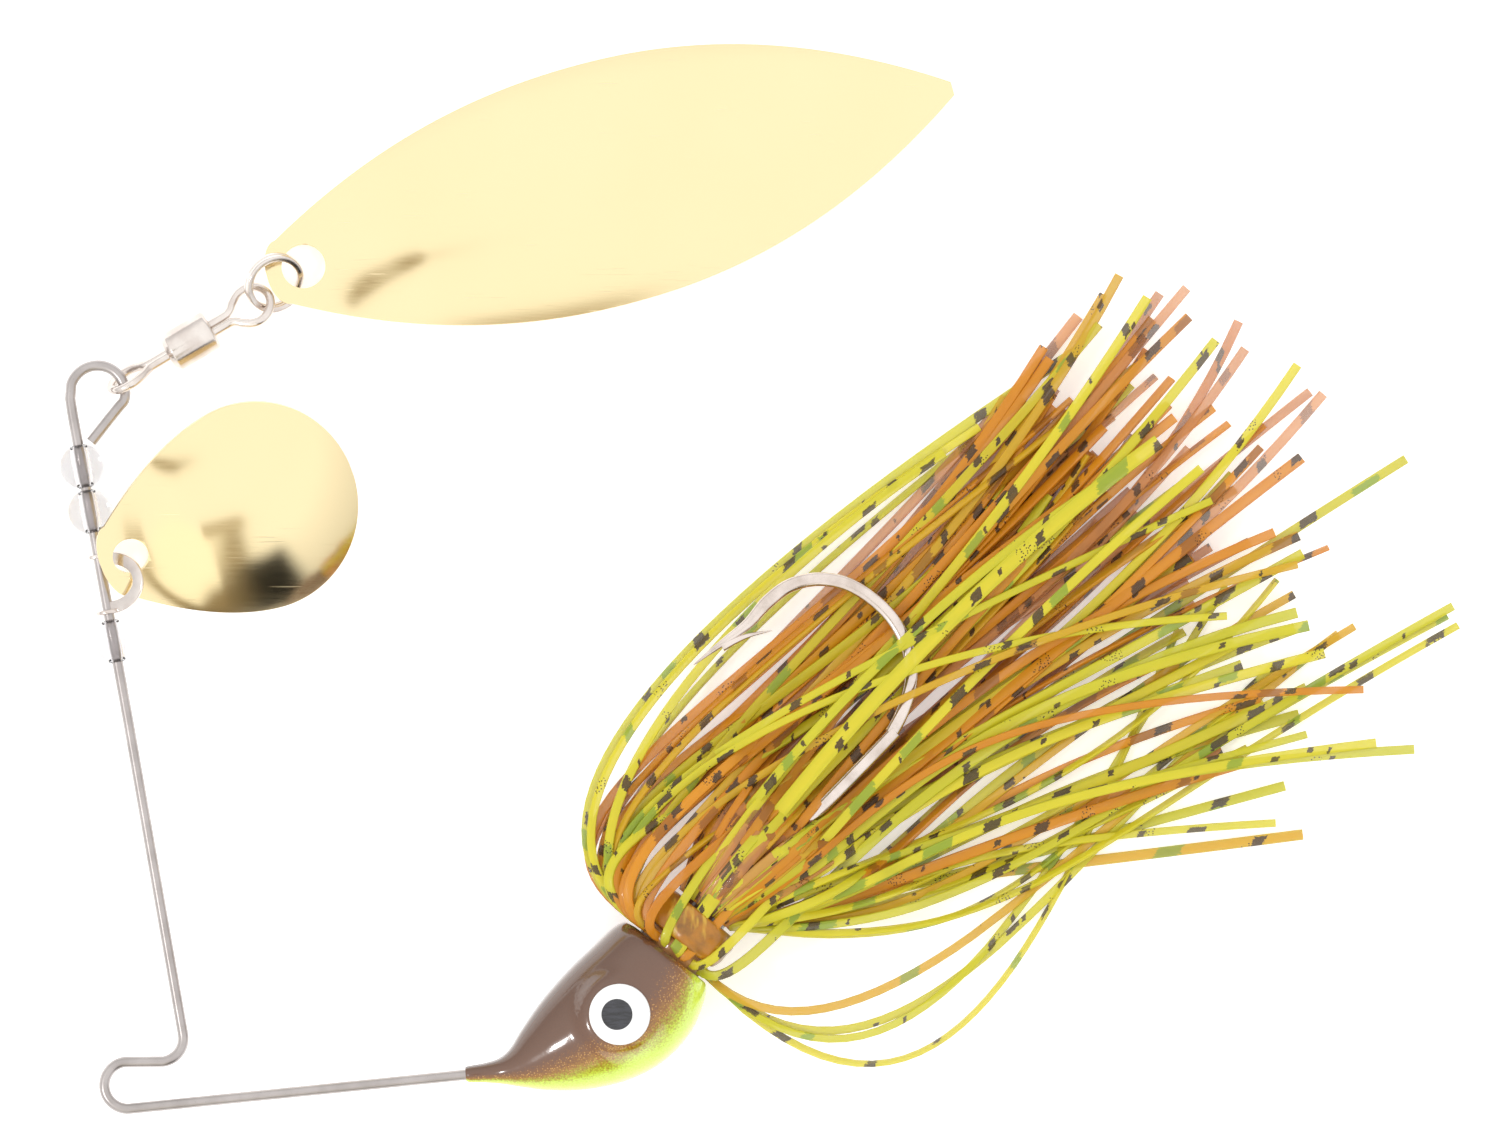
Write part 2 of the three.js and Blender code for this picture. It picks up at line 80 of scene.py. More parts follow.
WIRE = 0.5
LEAN = dict(degrees=2.5, towards=129.6, pivot=(48.83, 8.99), height=5.72)
ARM_FOOT, ARM_HEADING = (7.9, 7.48), 100.42
POST_HEADING = 50.9
EYE = dict(centre=(48.83, 8.99), radius=2.85, pupil=1.45, face=5.6, shift=-0.25)
COLLAR = dict(start=(54.11, 15.75), length=3.6, inner=2.7, outer=4.3)
GLUE_LENGTH = 1.7
BEAD = dict(radius=2.1, bore=0.65)
BEAD_AT = dict(bead_upper_1=53.65, bead_upper_2=49.35, bead_lower=37.0)
CLEVIS = dict(at=42.4, ears=2.65, thick=0.36, ear=1.15, roll=-33, reach=3.9, half=2.85, band=1.15)
SWIVEL = dict(start=(2.52, 68.5), end=(14.11, 75.3), height=2.55, wire=0.42, eye=1.85)
BARREL = dict(start=4.33, length=4.77, radius=1.95, mouth=1.02)
RING = dict(centre=(16.25, 77.4), height=2.65, radius=2.6, wide=0.6, high=0.48, lean=35)
WILLOW = dict(
    hole=(18.97, 78.9), height=2.3, towards=15.4, pitch=1.6, roll=-5, length=66.7,
    to_hole=3.57, bore=2.05, widest=33, half=11.5, root=36.4, root_power=2.1,
    tip=34.6, tip_power=2.1, round=False, nose=1.6, dome=2.5, thick=0.5, rise=15, cup=1.3,
)
COLORADO = dict(
    hole=(2.8, 51.9), above=1.6, towards=21.6, pitch=5.5, roll=18, length=25.2,
    to_hole=2.94, bore=1.68, widest=15.6, half=10.15, root=17.9, root_power=1.75,
    tip=9.6, round=True, nose=1.6, dome=2.4, thick=0.5, rise=10.1, cup=2.0,
)


def heading(angle):
    return Vector((math.cos(math.radians(angle)), math.sin(math.radians(angle)), 0))


def flat(xy, z=0.0):
    return Vector((xy[0], xy[1], z))


def smoothstep(x, low, high):
    t = min(1.0, max(0.0, (x - low) / (high - low)))
    return t * t * (3 - 2 * t)


def on_arm(s):
    return flat(ARM_FOOT) + heading(ARM_HEADING) * s


# ---------------------------------------------------------------- frames

lean_turn = Matrix.Rotation(math.radians(-LEAN["degrees"]), 4, heading(LEAN["towards"] - 90))
pivot = Matrix.Translation(flat(LEAN["pivot"]))
raised = Matrix.Translation((0, 0, LEAN["height"]))
leaning = raised @ pivot @ lean_turn @ pivot.inverted()

bead_low, bead_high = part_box("bead_lower")
bead_centre = (Vector(bead_low) + Vector(bead_high)) / 2
origin = bead_centre * 1000 - leaning @ on_arm(BEAD_AT["bead_lower"])
ON_TABLE = Matrix.Scale(0.001, 4) @ Matrix.Translation(origin)
IN_WIRE = ON_TABLE @ leaning

# ---------------------------------------------------------------- camera

PICTURE_WIDTH = 0.1402
CAMERA_SHIFT = Vector((0.0005, 0.0006, 0))
LENS = 300
camera_data = bpy.data.cameras.new("camera")
camera_data.lens = LENS
camera_data.sensor_width = 36
camera = bpy.data.objects.new("camera", camera_data)
middle = (Vector(cad_low) + Vector(cad_high)) / 2
camera.location = (middle.x, middle.y, 0.005 + PICTURE_WIDTH * LENS / 36)
camera.location += CAMERA_SHIFT
camera_data.clip_start = 0.05
camera_data.clip_end = 20
bpy.context.scene.collection.objects.link(camera)
bpy.context.scene.camera = camera
bpy.context.scene.view_settings.view_transform = "Standard"

# ---------------------------------------------------------------- materials


class Nodes:
    """A material's node tree, with short ways to add nodes."""

    def __init__(self, name, **sockets):
        self.material = bpy.data.materials.new(name)
        self.material.use_nodes = True
        self.tree = self.material.node_tree
        self.shader = self.tree.nodes["Principled BSDF"]
        for key, value in sockets.items():
            self.shader.inputs[key.replace("_", " ")].default_value = value

    def add(self, kind, inputs=None, **settings):
        node = self.tree.nodes.new(kind)
        for key, value in settings.items():
            setattr(node, key, value)
        for key, value in (inputs or {}).items():
            if isinstance(value, bpy.types.NodeSocket):
                self.tree.links.new(value, node.inputs[key])
            else:
                node.inputs[key].default_value = value
        return node

    def math(self, operation, a, b=0.0):
        return self.add("ShaderNodeMath", {0: a, 1: b}, operation=operation).outputs[0]

    def step(self, value, low, high):
        node = self.add("ShaderNodeMapRange", {"Value": value, "From Min": low, "From Max": high},
                        interpolation_type="SMOOTHSTEP")
        return node.outputs["Result"]

    def mix(self, share, a, b):
        node = self.add("ShaderNodeMix", {0: share, 6: a, 7: b}, data_type="RGBA")
        return node.outputs[2]

    def object_position(self):
        return self.add("ShaderNodeTexCoord").outputs["Object"]

    def noise(self, vector, scale, detail=3.0, rough=0.5):
        node = self.add("ShaderNodeTexNoise", {"Vector": vector, "Scale": scale, "Detail": detail,
                                               "Roughness": rough})
        return node.outputs["Fac"]

    def stretch(self, vector, scale, angle=0.0):
        node = self.add("ShaderNodeMapping", {"Vector": vector, "Scale": scale,
                                              "Rotation": (0, 0, math.radians(angle))})
        return node.outputs["Vector"]

    def bump(self, height, distance, strength=1.0):
        node = self.add("ShaderNodeBump", {"Height": height, "Distance": distance,
                                           "Strength": strength})
        self.drive("Normal", node.outputs["Normal"])

    def drive(self, socket, value):
        self.tree.links.new(value, self.shader.inputs[socket])


def rgb(r, g, b):
    return (r, g, b, 1.0)


METAL_GRAIN, METAL_BUMP = 9000, 0.000004


def drawn_metal(name, light, dark, rough):
    """Plated or stainless metal with fine marks and a slow change of tone."""
    n = Nodes(name, Metallic=1.0)
    where = n.object_position()
    tone = n.noise(where, 420, 4)
    n.drive("Base Color", n.mix(n.step(tone, 0.3, 0.75), light, dark))
    fine = n.noise(where, METAL_GRAIN, 2)
    n.drive("Roughness", n.math("ADD", n.math("MULTIPLY", fine, 0.12), rough))
    n.bump(fine, METAL_BUMP)
    return n.material


def gold_plate():
    """Polished gold plate with brushing marks and hair scratches that cross each other."""
    n = Nodes("gold_plate", Metallic=1.0)
    where = n.object_position()
    tone = n.noise(where, 60, 3)
    n.drive("Base Color", n.mix(tone, rgb(0.90, 0.745, 0.43), rgb(0.93, 0.775, 0.47)))
    brushed = n.noise(n.stretch(where, (300, 9000, 300), -15), 1.0, 3)
    scratch = n.noise(n.stretch(where, (180, 5200, 180), 38), 1.0, 1)
    crossed = n.noise(n.stretch(where, (160, 4600, 160), -62), 1.0, 1)
    lines = n.math("ADD", n.step(scratch, 0.72, 0.78), n.step(crossed, 0.73, 0.79))
    roughness = n.math("ADD", n.math("MULTIPLY", brushed, 0.10), 0.10)
    n.drive("Roughness", n.math("ADD", roughness, n.math("MULTIPLY", lines, 0.12)))
    height = n.math("SUBTRACT", n.math("MULTIPLY", brushed, 0.4), lines)
    n.bump(height, 0.0000022)
    return n.material


def head_paint():
    """Brown back, an orange and gold speckled fade, and a chartreuse belly, under gloss."""
    n = Nodes("head_paint", Roughness=0.16, Coat_Weight=0.8, Coat_Roughness=0.05)
    uv = n.add("ShaderNodeUVMap", uv_map="UVMap").outputs["UV"]
    parts = n.add("ShaderNodeSeparateXYZ", {0: uv})
    where = n.object_position()
    spray = n.math("MULTIPLY", n.math("SUBTRACT", n.noise(where, 5200, 2), 0.5), 0.22)
    cloud = n.math("MULTIPLY", n.math("SUBTRACT", n.noise(where, 300, 3), 0.5), 0.10)
    share = n.math("ADD", parts.outputs["Y"], n.math("ADD", spray, cloud))
    ramp = n.add("ShaderNodeValToRGB", {0: share})
    stops = [
        (0.00, (0.100, 0.046, 0.024)), (0.56, (0.150, 0.066, 0.034)), (0.68, (0.22, 0.085, 0.020)),
        (0.76, (0.34, 0.155, 0.018)), (0.82, (0.40, 0.36, 0.025)), (0.89, (0.62, 0.80, 0.06)),
        (1.00, (0.76, 0.95, 0.15)),
    ]
    bands = ramp.color_ramp.elements
    while len(bands) < len(stops):
        bands.new(0.5)
    for band, (at, colour) in zip(bands, stops):
        band.position = at
        band.color = rgb(*colour)
    glitter = n.add("ShaderNodeTexVoronoi", {"Vector": where, "Scale": 4200}, feature="F1")
    spark = n.math("LESS_THAN", glitter.outputs["Distance"], 0.28)
    fade = n.math("MULTIPLY", n.step(share, 0.55, 0.68), n.math("SUBTRACT", 1.0, n.step(share, 0.8, 0.9)))
    tint = n.mix(n.math("MULTIPLY", n.math("MULTIPLY", spark, fade), 0.55), ramp.outputs[0],
                 rgb(0.75, 0.40, 0.10))
    n.drive("Base Color", tint)
    n.bump(n.noise(where, 900, 3), 0.00002, 0.5)
    return n.material


GLOSS_ROUGHNESS = 0.2


def plain_gloss(name, colour, dark, scale):
    """Enamel with faint brush marks."""
    n = Nodes(name, Coat_Weight=0.5, Coat_Roughness=0.08)
    where = n.object_position()
    marks = n.noise(n.stretch(where, (scale, scale * 5, scale), 35), 1.0, 3)
    n.drive("Base Color", n.mix(n.step(marks, 0.35, 0.7), colour, dark))
    n.drive("Roughness", n.math("ADD", n.math("MULTIPLY", marks, 0.2), GLOSS_ROUGHNESS))
    n.bump(marks, 0.00001, 0.6)
    return n.material


def clear_plastic():
    n = Nodes("clear_plastic", Transmission_Weight=1.0, IOR=1.36)
    n.drive("Base Color", n.mix(n.noise(n.object_position(), 700), rgb(0.82, 0.81, 0.82),
                                rgb(0.86, 0.85, 0.86)))
    n.drive("Roughness", n.math("MULTIPLY", n.noise(n.object_position(), 2500), 0.08))
    return n.material


# Each strand starts this much further on in UV, in millimetres, so that its marks are its own.
STRAND_APART = 131.0
# The fraction left of a strand's number times this sets its shade.
STRAND_SHADES = 0.56984


def silicone(name, colour, deep, warm, blotch, blotch_share, alpha):
    """Translucent silicone strand. UV runs along the strand and across it, in millimetres."""
    n = Nodes(name, Alpha=alpha, Coat_Weight=0.12)
    uv = n.add("ShaderNodeUVMap", uv_map="UVMap").outputs["UV"]
    parts = n.add("ShaderNodeSeparateXYZ", {0: uv})
    along, across = parts.outputs["X"], parts.outputs["Y"]
    slant = n.math("ADD", along, n.math("MULTIPLY", across, 0.6))
    grain = n.noise(n.stretch(uv, (2.2, 3.6, 1)), 1.0, 4, 0.7)
    ragged = n.math("SUBTRACT", grain, 0.5)

    def marks(period, shift, least, spread, keep, reach):
        """Printed patches, each in its own place across the strand."""
        place = n.math("ADD", n.math("DIVIDE", slant, period), shift)
        cell = n.add("ShaderNodeTexVoronoi", {"W": place, "Scale": 1.0}, voronoi_dimensions="1D")
        chance = n.add("ShaderNodeSeparateColor", {0: cell.outputs["Color"]})
        size = n.math("ADD", n.math("MULTIPLY", chance.outputs[0], spread), least)
        near = n.math("LESS_THAN", n.math("ADD", cell.outputs["Distance"],
                                          n.math("MULTIPLY", ragged, 0.2)), size)
        middle = n.math("MULTIPLY", n.math("SUBTRACT", chance.outputs[2], 0.5), 0.9)
        aside = n.math("ABSOLUTE", n.math("SUBTRACT", across, middle))
        inside = n.math("LESS_THAN", n.math("ADD", aside, n.math("MULTIPLY", ragged, 0.5)), reach)
        kept = n.math("LESS_THAN", chance.outputs[1], keep)
        return n.math("MULTIPLY", n.math("MULTIPLY", near, inside), kept)

    print_marks = marks(6.7, 0.0, 0.055, 0.09, 0.46, 0.46)
    small_marks = marks(4.3, 17.3, 0.03, 0.06, 0.17, 0.26)
    under_marks = marks(9.0, 31.7, 0.06, 0.14, blotch_share, 0.7)
    dots = n.add("ShaderNodeTexVoronoi", {"Vector": uv, "Scale": 3.2}, voronoi_dimensions="2D")
    patch = n.math("GREATER_THAN", n.noise(n.stretch(uv, (0.2, 0.2, 1)), 1.0, 1), 0.64)
    flecks = n.math("MULTIPLY", n.math("LESS_THAN", dots.outputs["Distance"], 0.22), patch)
    number = n.math("FLOOR", n.math("DIVIDE", along, STRAND_APART))
    of_strand = n.math("FRACT", n.math("MULTIPLY", number, STRAND_SHADES))
    cloud = n.noise(n.stretch(uv, (0.12, 0.9, 1)), 1.0, 3)
    tone = n.math("ADD", n.math("MULTIPLY", of_strand, 0.6), n.math("MULTIPLY", cloud, 0.45))
    body = n.mix(tone, colour, deep)
    body = n.mix(n.step(of_strand, 0.80, 0.93), body, warm)
    body = n.mix(n.math("MULTIPLY", under_marks, 0.7), body, blotch)
    # Painted shade: the colour deepens towards both edges of the strand, standing in for the darker look
    # light gives its rounded sides.
    edge = n.step(n.math("ABSOLUTE", across), 0.22, 0.5)
    body = n.mix(n.math("MULTIPLY", edge, 0.25), body, deep)
    dark = n.math("MAXIMUM", n.math("MAXIMUM", print_marks, small_marks), flecks)
    ink = n.mix(grain, rgb(0.030, 0.018, 0.010), rgb(0.10, 0.05, 0.018))
    n.drive("Base Color", n.mix(n.math("MULTIPLY", dark, 0.95), body, ink))
    n.drive("Roughness", n.math("ADD", n.math("MULTIPLY", grain, 0.25), 0.25))
    n.bump(n.math("ADD", grain, n.math("MULTIPLY", dark, 0.4)), 0.00003, 0.5)
    return n.material


def collar_rubber():
    n = Nodes("collar_rubber", Roughness=0.3, Coat_Weight=0.3, Coat_Roughness=0.2)
    n.shader.inputs["Subsurface Weight"].default_value = 0.3
    n.shader.inputs["Subsurface Scale"].default_value = 0.001
    n.shader.inputs["Subsurface Radius"].default_value = (1.0, 0.5, 0.2)
    where = n.object_position()
    cloud = n.noise(where, 380, 4, 0.6)
    body = n.mix(n.step(cloud, 0.35, 0.7), rgb(0.47, 0.185, 0.006), rgb(0.22, 0.095, 0.010))
    streak = n.noise(n.stretch(where, (900, 200, 900), POST_HEADING), 1.0, 3)
    n.drive("Base Color", n.mix(n.step(streak, 0.58, 0.72), body, rgb(0.62, 0.38, 0.03)))
    n.bump(n.noise(where, 1600, 4), 0.00005, 0.6)
    return n.material


def dried_glue():
    n = Nodes("dried_glue", Roughness=0.18, Alpha=0.8, Coat_Weight=0.3)
    where = n.object_position()
    body = n.mix(n.noise(where, 700, 3), rgb(0.58, 0.30, 0.10), rgb(0.34, 0.13, 0.03))
    n.drive("Base Color", body)
    n.bump(n.noise(where, 1300, 4), 0.00008, 0.6)
    return n.material


GOLD = gold_plate()
STEEL = drawn_metal("stainless_wire", rgb(0.51, 0.47, 0.455), rgb(0.41, 0.375, 0.36), 0.24)
NICKEL = drawn_metal("warm_nickel", rgb(0.80, 0.74, 0.69), rgb(0.66, 0.58, 0.53), 0.12)
HOOK_NICKEL = drawn_metal("hook_nickel", rgb(0.78, 0.69, 0.63), rgb(0.58, 0.49, 0.43), 0.10)
HEAD_PAINT = head_paint()
EYE_WHITE = plain_gloss("eye_white", rgb(0.93, 0.93, 0.92), rgb(0.86, 0.86, 0.85), 500)
EYE_BLACK = plain_gloss("eye_black", rgb(0.035, 0.036, 0.045), rgb(0.012, 0.012, 0.014), 900)
CLEAR = clear_plastic()
COLLAR_RUBBER = collar_rubber()
GLUE = dried_glue()
CHARTREUSE = silicone("chartreuse", rgb(0.88, 0.74, 0.03), rgb(0.54, 0.55, 0.015),
                      rgb(0.74, 0.43, 0.012), rgb(0.16, 0.34, 0.03), 0.34, 0.72)
ORANGE = silicone("pumpkin", rgb(0.86, 0.37, 0.008), rgb(0.60, 0.19, 0.004),
                  rgb(0.70, 0.42, 0.012), rgb(0.26, 0.08, 0.008), 0.32, 0.72)
COPPER = silicone("copper", rgb(0.84, 0.40, 0.13), rgb(0.50, 0.16, 0.03),
                  rgb(0.64, 0.22, 0.030), rgb(0.18, 0.055, 0.02), 0.35, 0.56)

# ---------------------------------------------------------------- mesh helpers


def solid_mesh(name, verts, faces):
    """A mesh whose faces all look outwards."""
    mesh = bpy.data.meshes.new(name)
    mesh.from_pydata(verts, [], faces)
    work = bmesh.new()
    work.from_mesh(mesh)
    bmesh.ops.recalc_face_normals(work, faces=work.faces)
    work.to_mesh(mesh)
    work.free()
    return mesh


def piece(name, verts, faces, material, nodes, frame_matrix, uvs=None, sharp=35.0):
    """A smooth-shaded mesh that stands for CAD nodes and rides on their body."""
    mesh = solid_mesh(name, [frame_matrix @ v for v in verts], faces)
    if uvs:
        layer = mesh.uv_layers.new(name="UVMap")
        for loop in mesh.loops:
            layer.data[loop.index].uv = uvs[loop.vertex_index]
    mesh.materials.append(material)
    mesh.shade_smooth()
    mesh.set_sharp_from_angle(angle=math.radians(sharp))
    made = bpy.data.objects.new(name, mesh)
    bpy.context.scene.collection.objects.link(made)
    return settle(made, nodes)


def settle(made, nodes):
    body = frame["nodes"][nodes[0]]["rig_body"]
    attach(made, body)
    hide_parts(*nodes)
    return made


def apply_modifiers(made):
    graph = bpy.context.evaluated_depsgraph_get()
    mesh = bpy.data.meshes.new_from_object(made.evaluated_get(graph))
    made.modifiers.clear()
    made.data = mesh


def loft(rings, closed=False):
    """Faces through rings of points, with a fan at each end unless the ends meet."""
    count = len(rings[0])
    verts = [v for ring in rings for v in ring]
    faces = []
    spans = len(rings) if closed else len(rings) - 1
    for i in range(spans):
        a, b = i * count, ((i + 1) % len(rings)) * count
        for j in range(count):
            k = (j + 1) % count
            faces.append((a + j, b + j, b + k, a + k))
    if not closed:
        for ring, first in ((rings[0], 0), (rings[-1], (len(rings) - 1) * count)):
            verts.append(sum(ring, Vector()) / count)
            tip = len(verts) - 1
            for j in range(count):
                k = (j + 1) % count
                faces.append((tip, first + j, first + k) if first == 0 else (tip, first + k, first + j))
    return verts, faces


def frames_along(points, up):
    """Two directions square to the path at each point, turned no more than they have to be."""
    made = []
    across = up.copy()
    for i in range(len(points)):
        along = (points[min(i + 1, len(points) - 1)] - points[max(i - 1, 0)]).normalized()
        across = (across - along * across.dot(along)).normalized()
        made.append((across, along.cross(across)))
    return made


def sweep(points, section, scale=None, up=Vector((0, 0, 1))):
    """Carries a section of (across, side) pairs along points; scale(i) sizes it."""
    rings = []
    for i, (point, (across, side)) in enumerate(zip(points, frames_along(points, up))):
        high, wide = scale(i) if scale else (1.0, 1.0)
        rings.append([point + across * a * high + side * b * wide for a, b in section])
    return loft(rings)


def circle(radius, sides):
    turn = 2 * math.pi / sides
    return [(radius * math.cos(j * turn), radius * math.sin(j * turn)) for j in range(sides)]


def rounded_bar(high, wide, corner=0.3, steps=3):
    """A rectangle of half sizes high and wide with rounded corners."""
    r = corner * min(high, wide)
    made = []
    for sign_a, sign_b, start in ((1, 1, 0), (-1, 1, 90), (-1, -1, 180), (1, -1, 270)):
        for j in range(steps + 1):
            angle = math.radians(start + 90 * j / steps)
            made.append((sign_a * (high - r) + r * math.cos(angle),
                         sign_b * (wide - r) + r * math.sin(angle)))
    return made


def arc(centre, radius, start, end, steps):
    return [flat(centre) + heading(start + (end - start) * i / steps) * radius
            for i in range(steps + 1)]


def curve_through(points, per):
    """A Catmull-Rom curve through points."""
    made = []
    for i in range(len(points) - 1):
        a, b = points[max(i - 1, 0)], points[i]
        c, d = points[i + 1], points[min(i + 2, len(points) - 1)]
        for k in range(per):
            s = k / per
            made.append(0.5 * (2 * b + (c - a) * s + (2 * a - 5 * b + 4 * c - d) * s * s
                               + (3 * b - a - 3 * c + d) * s * s * s))
    return made + [points[-1]]


def turned(outline, segments):
    """A closed outline of (radius, height) pairs turned about Z."""
    rings = []
    for i in range(segments):
        angle = 2 * math.pi * i / segments
        out = Vector((math.cos(angle), math.sin(angle), 0))
        rings.append([out * r + Vector((0, 0, z)) for r, z in outline])
    return loft(rings, closed=True)


def softened(outline, radius, steps=3):
    """The outline with each corner rounded."""
    made = []
    count = len(outline)
    for i, corner in enumerate(outline):
        here = Vector(corner)
        before = Vector(outline[i - 1]) - here
        after = Vector(outline[(i + 1) % count]) - here
        cut = min(radius, before.length * 0.45, after.length * 0.45)
        start, end = here + before.normalized() * cut, here + after.normalized() * cut
        for k in range(steps + 1):
            s = k / steps
            made.append(tuple(start * (1 - s) ** 2 + here * 2 * s * (1 - s) + end * s * s))
    return made


def turn_to(direction, source=Vector((0, 0, 1))):
    return source.rotation_difference(direction).to_matrix().to_4x4()


def merge(*parts):
    """One list of vertices and faces from several."""
    verts, faces = [], []
    for more_verts, more_faces in parts:
        start = len(verts)
        verts += more_verts
        faces += [tuple(start + k for k in face) for face in more_faces]
    return verts, faces


def moved(part, matrix):
    return [matrix @ v for v in part[0]], part[1]


# ---------------------------------------------------------------- wire form

wire_path = [
    flat((42.2, 4.35), -0.6),
    flat((39.8, 3.92)),
    flat((34.64, 3.38)),
    *arc((2.62, 2.34), 2.2, 280, 98, 40),
    *arc((5.61, 6.73), 2.2, 278, 370.4, 22),
    on_arm(30),
    on_arm(56.5),
    *curve_through([on_arm(57.5), on_arm(58.6), flat((-2.93, 66.6))], 3),
    *arc((-0.37, 67.1), 2.6, 166, -14, 36)[1:],
    *curve_through([flat((2.0, 66.2)), flat((1.5, 65.65)), flat((-0.95, 62.55))], 3),
]
piece("wire", *sweep(wire_path, circle(WIRE, 20)), STEEL, ["wire_form"], IN_WIRE, sharp=60)

# ---------------------------------------------------------------- hook

HOOK_BEND = [
    (55.47, 41.6), (57.0, 42.8), (58.7, 44.05), (60.6, 45.5), (62.4, 47.5), (64.5, 49.05),
    (67.1, 49.65), (69.7, 49.25), (72.1, 47.9), (74.2, 45.8), (75.55, 43.1), (75.85, 40.4),
    (75.2, 37.7), (74.0, 35.3), (72.8, 33.8),
]
PER = 6
hook_path = curve_through([flat(p) for p in HOOK_BEND] + [flat((56.5, 17.15)), flat((45.75, 6.18))], PER)


def hook_scale(i):
    taper = min(1.0, 0.04 + (i / PER / 4.2) ** 0.85)
    forged = 0.80 + 0.20 * smoothstep(i / PER, 12, 14)
    return forged * taper, taper


hook_section = rounded_bar(0.65, 0.65, 0.75, 5)
barb_path = curve_through([flat((58.2, 43.3), 0.1), flat((60.4, 44.3), 0.2), flat((62.9, 44.85), 0.1)], 6)
barb = sweep(barb_path, circle(0.5, 10), lambda i: (0.55 - 0.042 * i, 0.9 - 0.07 * i))
piece("hook_fine", *merge(sweep(hook_path, hook_section, hook_scale), barb), HOOK_NICKEL, ["hook"],
      IN_WIRE, sharp=50)

# ---------------------------------------------------------------- head

# Each row: a point on the back, the point across from it on the belly, half the width.
HEAD_SECTIONS = [
    ((34.2, 4.0), (34.3, 2.75), 0.62),
    ((34.6, 4.12), (34.7, 2.62), 0.75), ((36.1, 4.4), (36.1, 2.6), 0.95),
    ((37.38, 4.85), (37.85, 2.45), 1.3), ((38.41, 5.79), (39.72, 2.15), 1.9),
    ((39.44, 7.48), (42.24, 1.87), 2.7), ((41.31, 10.19), (45.61, 1.96), 3.8),
    ((43.74, 12.99), (49.35, 2.8), 4.75), ((46.17, 15.33), (52.62, 4.49), 5.2),
    ((47.85, 16.92), (55.14, 7.1), 5.3), ((48.97, 17.57), (56.45, 9.91), 4.9),
    ((49.72, 17.38), (56.73, 11.68), 4.1), ((50.5, 16.9), (56.2, 12.3), 3.3),
]
HEAD_SIDES = 72


def make_head():
    backs = curve_through([flat(a) for a, _, _ in HEAD_SECTIONS], 7)
    bellies = curve_through([flat(b) for _, b, _ in HEAD_SECTIONS], 7)
    halves = curve_through([Vector((h, 0, 0)) for _, _, h in HEAD_SECTIONS], 7)
    eye = flat(EYE["centre"])
    rings, uvs = [], []
    for i, (back, belly, half) in enumerate(zip(backs, bellies, halves)):
        centre = (back + belly) / 2
        ring = []
        for j in range(HEAD_SIDES):
            angle = 2 * math.pi * j / HEAD_SIDES
            across, up = math.cos(angle), math.sin(angle)
            p = centre + (back - centre) * across + Vector((0, 0, half.x * up))
            far = (flat(p) - eye).length
            boss = smoothstep(far, 4.6, 2.9)
            if abs(up) > 0.2:
                p.z += boss * (math.copysign(EYE["face"] - 0.28, p.z) - p.z)
            ridge = math.exp(-((angle if angle < math.pi else angle - 2 * math.pi) / 0.05) ** 2)
            p += (back - centre).normalized() * 0.05 * ridge
            ring.append(p)
            uvs.append((i / len(backs), (1 - across) / 2))
        rings.append(ring)
    verts, faces = loft(rings)
    uvs += [(0.0, 0.5), (1.0, 0.5)]
    return verts, faces, uvs


head_verts, head_faces, head_uvs = make_head()
piece("head_shell", head_verts, head_faces, HEAD_PAINT, ["head"], IN_WIRE, uvs=head_uvs, sharp=80)

POST_RADIUS = 2.45
POST_PAINT = (0.9, 0.55)  # where on the head's fade the post takes its colour
POST = heading(POST_HEADING)
LEFT = heading(POST_HEADING + 90)
post_path = [flat((53.22, 14.53)) + POST * s for s in (-2.5, 0, 3, 5.6, 6.0)]
post = sweep(post_path, circle(POST_RADIUS, 28), lambda i: (1, 1) if i < 4 else (0.8, 0.8))
piece("head_post", *post, HEAD_PAINT, ["head"], IN_WIRE, uvs=[POST_PAINT] * len(post[0]))

# ---------------------------------------------------------------- painted eyes


def eye_disc(radius, low, high, round_off):
    return turned(softened([(0.001, low), (radius, low), (radius, high), (0.001, high)], round_off, 4), 64)


for side, up in (("top", 1), ("under", -1)):
    cheek = IN_WIRE @ Matrix.Translation(flat(EYE["centre"], up * EYE["face"]))
    if up < 0:
        cheek = cheek @ Matrix.Rotation(math.pi, 4, "Y")
    white = eye_disc(EYE["radius"], -0.62, 0.0, 0.16)
    piece(f"eye_ring_{side}", *white, EYE_WHITE, [f"eye_white_{side}"], cheek, sharp=50)
    pupil = moved(eye_disc(EYE["pupil"], -0.2, 0.03, 0.05), Matrix.Translation((EYE["shift"], 0, 0)))
    piece(f"eye_dot_{side}", *pupil, EYE_BLACK, [f"eye_pupil_{side}"], cheek, sharp=50)

# ---------------------------------------------------------------- skirt collar

collar_ring = turned(softened([
    (COLLAR["inner"], 0.3), (COLLAR["outer"] - 0.35, 0.0), (COLLAR["outer"], 0.9),
    (COLLAR["outer"] - 0.12, 1.8), (COLLAR["outer"], COLLAR["length"] - 0.8),
    (COLLAR["outer"] - 0.4, COLLAR["length"]), (COLLAR["inner"], COLLAR["length"] - 0.3),
], 0.5, 4), 80)
lumpy = [v + Vector((v.x, v.y, 0)).normalized() * 0.16 * noise(v * 0.7) for v in collar_ring[0]]
collar_place = IN_WIRE @ Matrix.Translation(flat(COLLAR["start"])) @ turn_to(POST)
piece("collar", lumpy, collar_ring[1], COLLAR_RUBBER, ["skirt_collar"], collar_place)
glue_ring = turned(softened([(2.4, -GLUE_LENGTH), (3.3, -GLUE_LENGTH + 0.1), (3.75, -0.5), (3.5, 0.15),
                             (2.4, 0.2)], 0.4, 4), 80)
uneven = [v + Vector((v.x, v.y, 0)).normalized() * 0.32 * noise(v * 0.9) for v in glue_ring[0]]
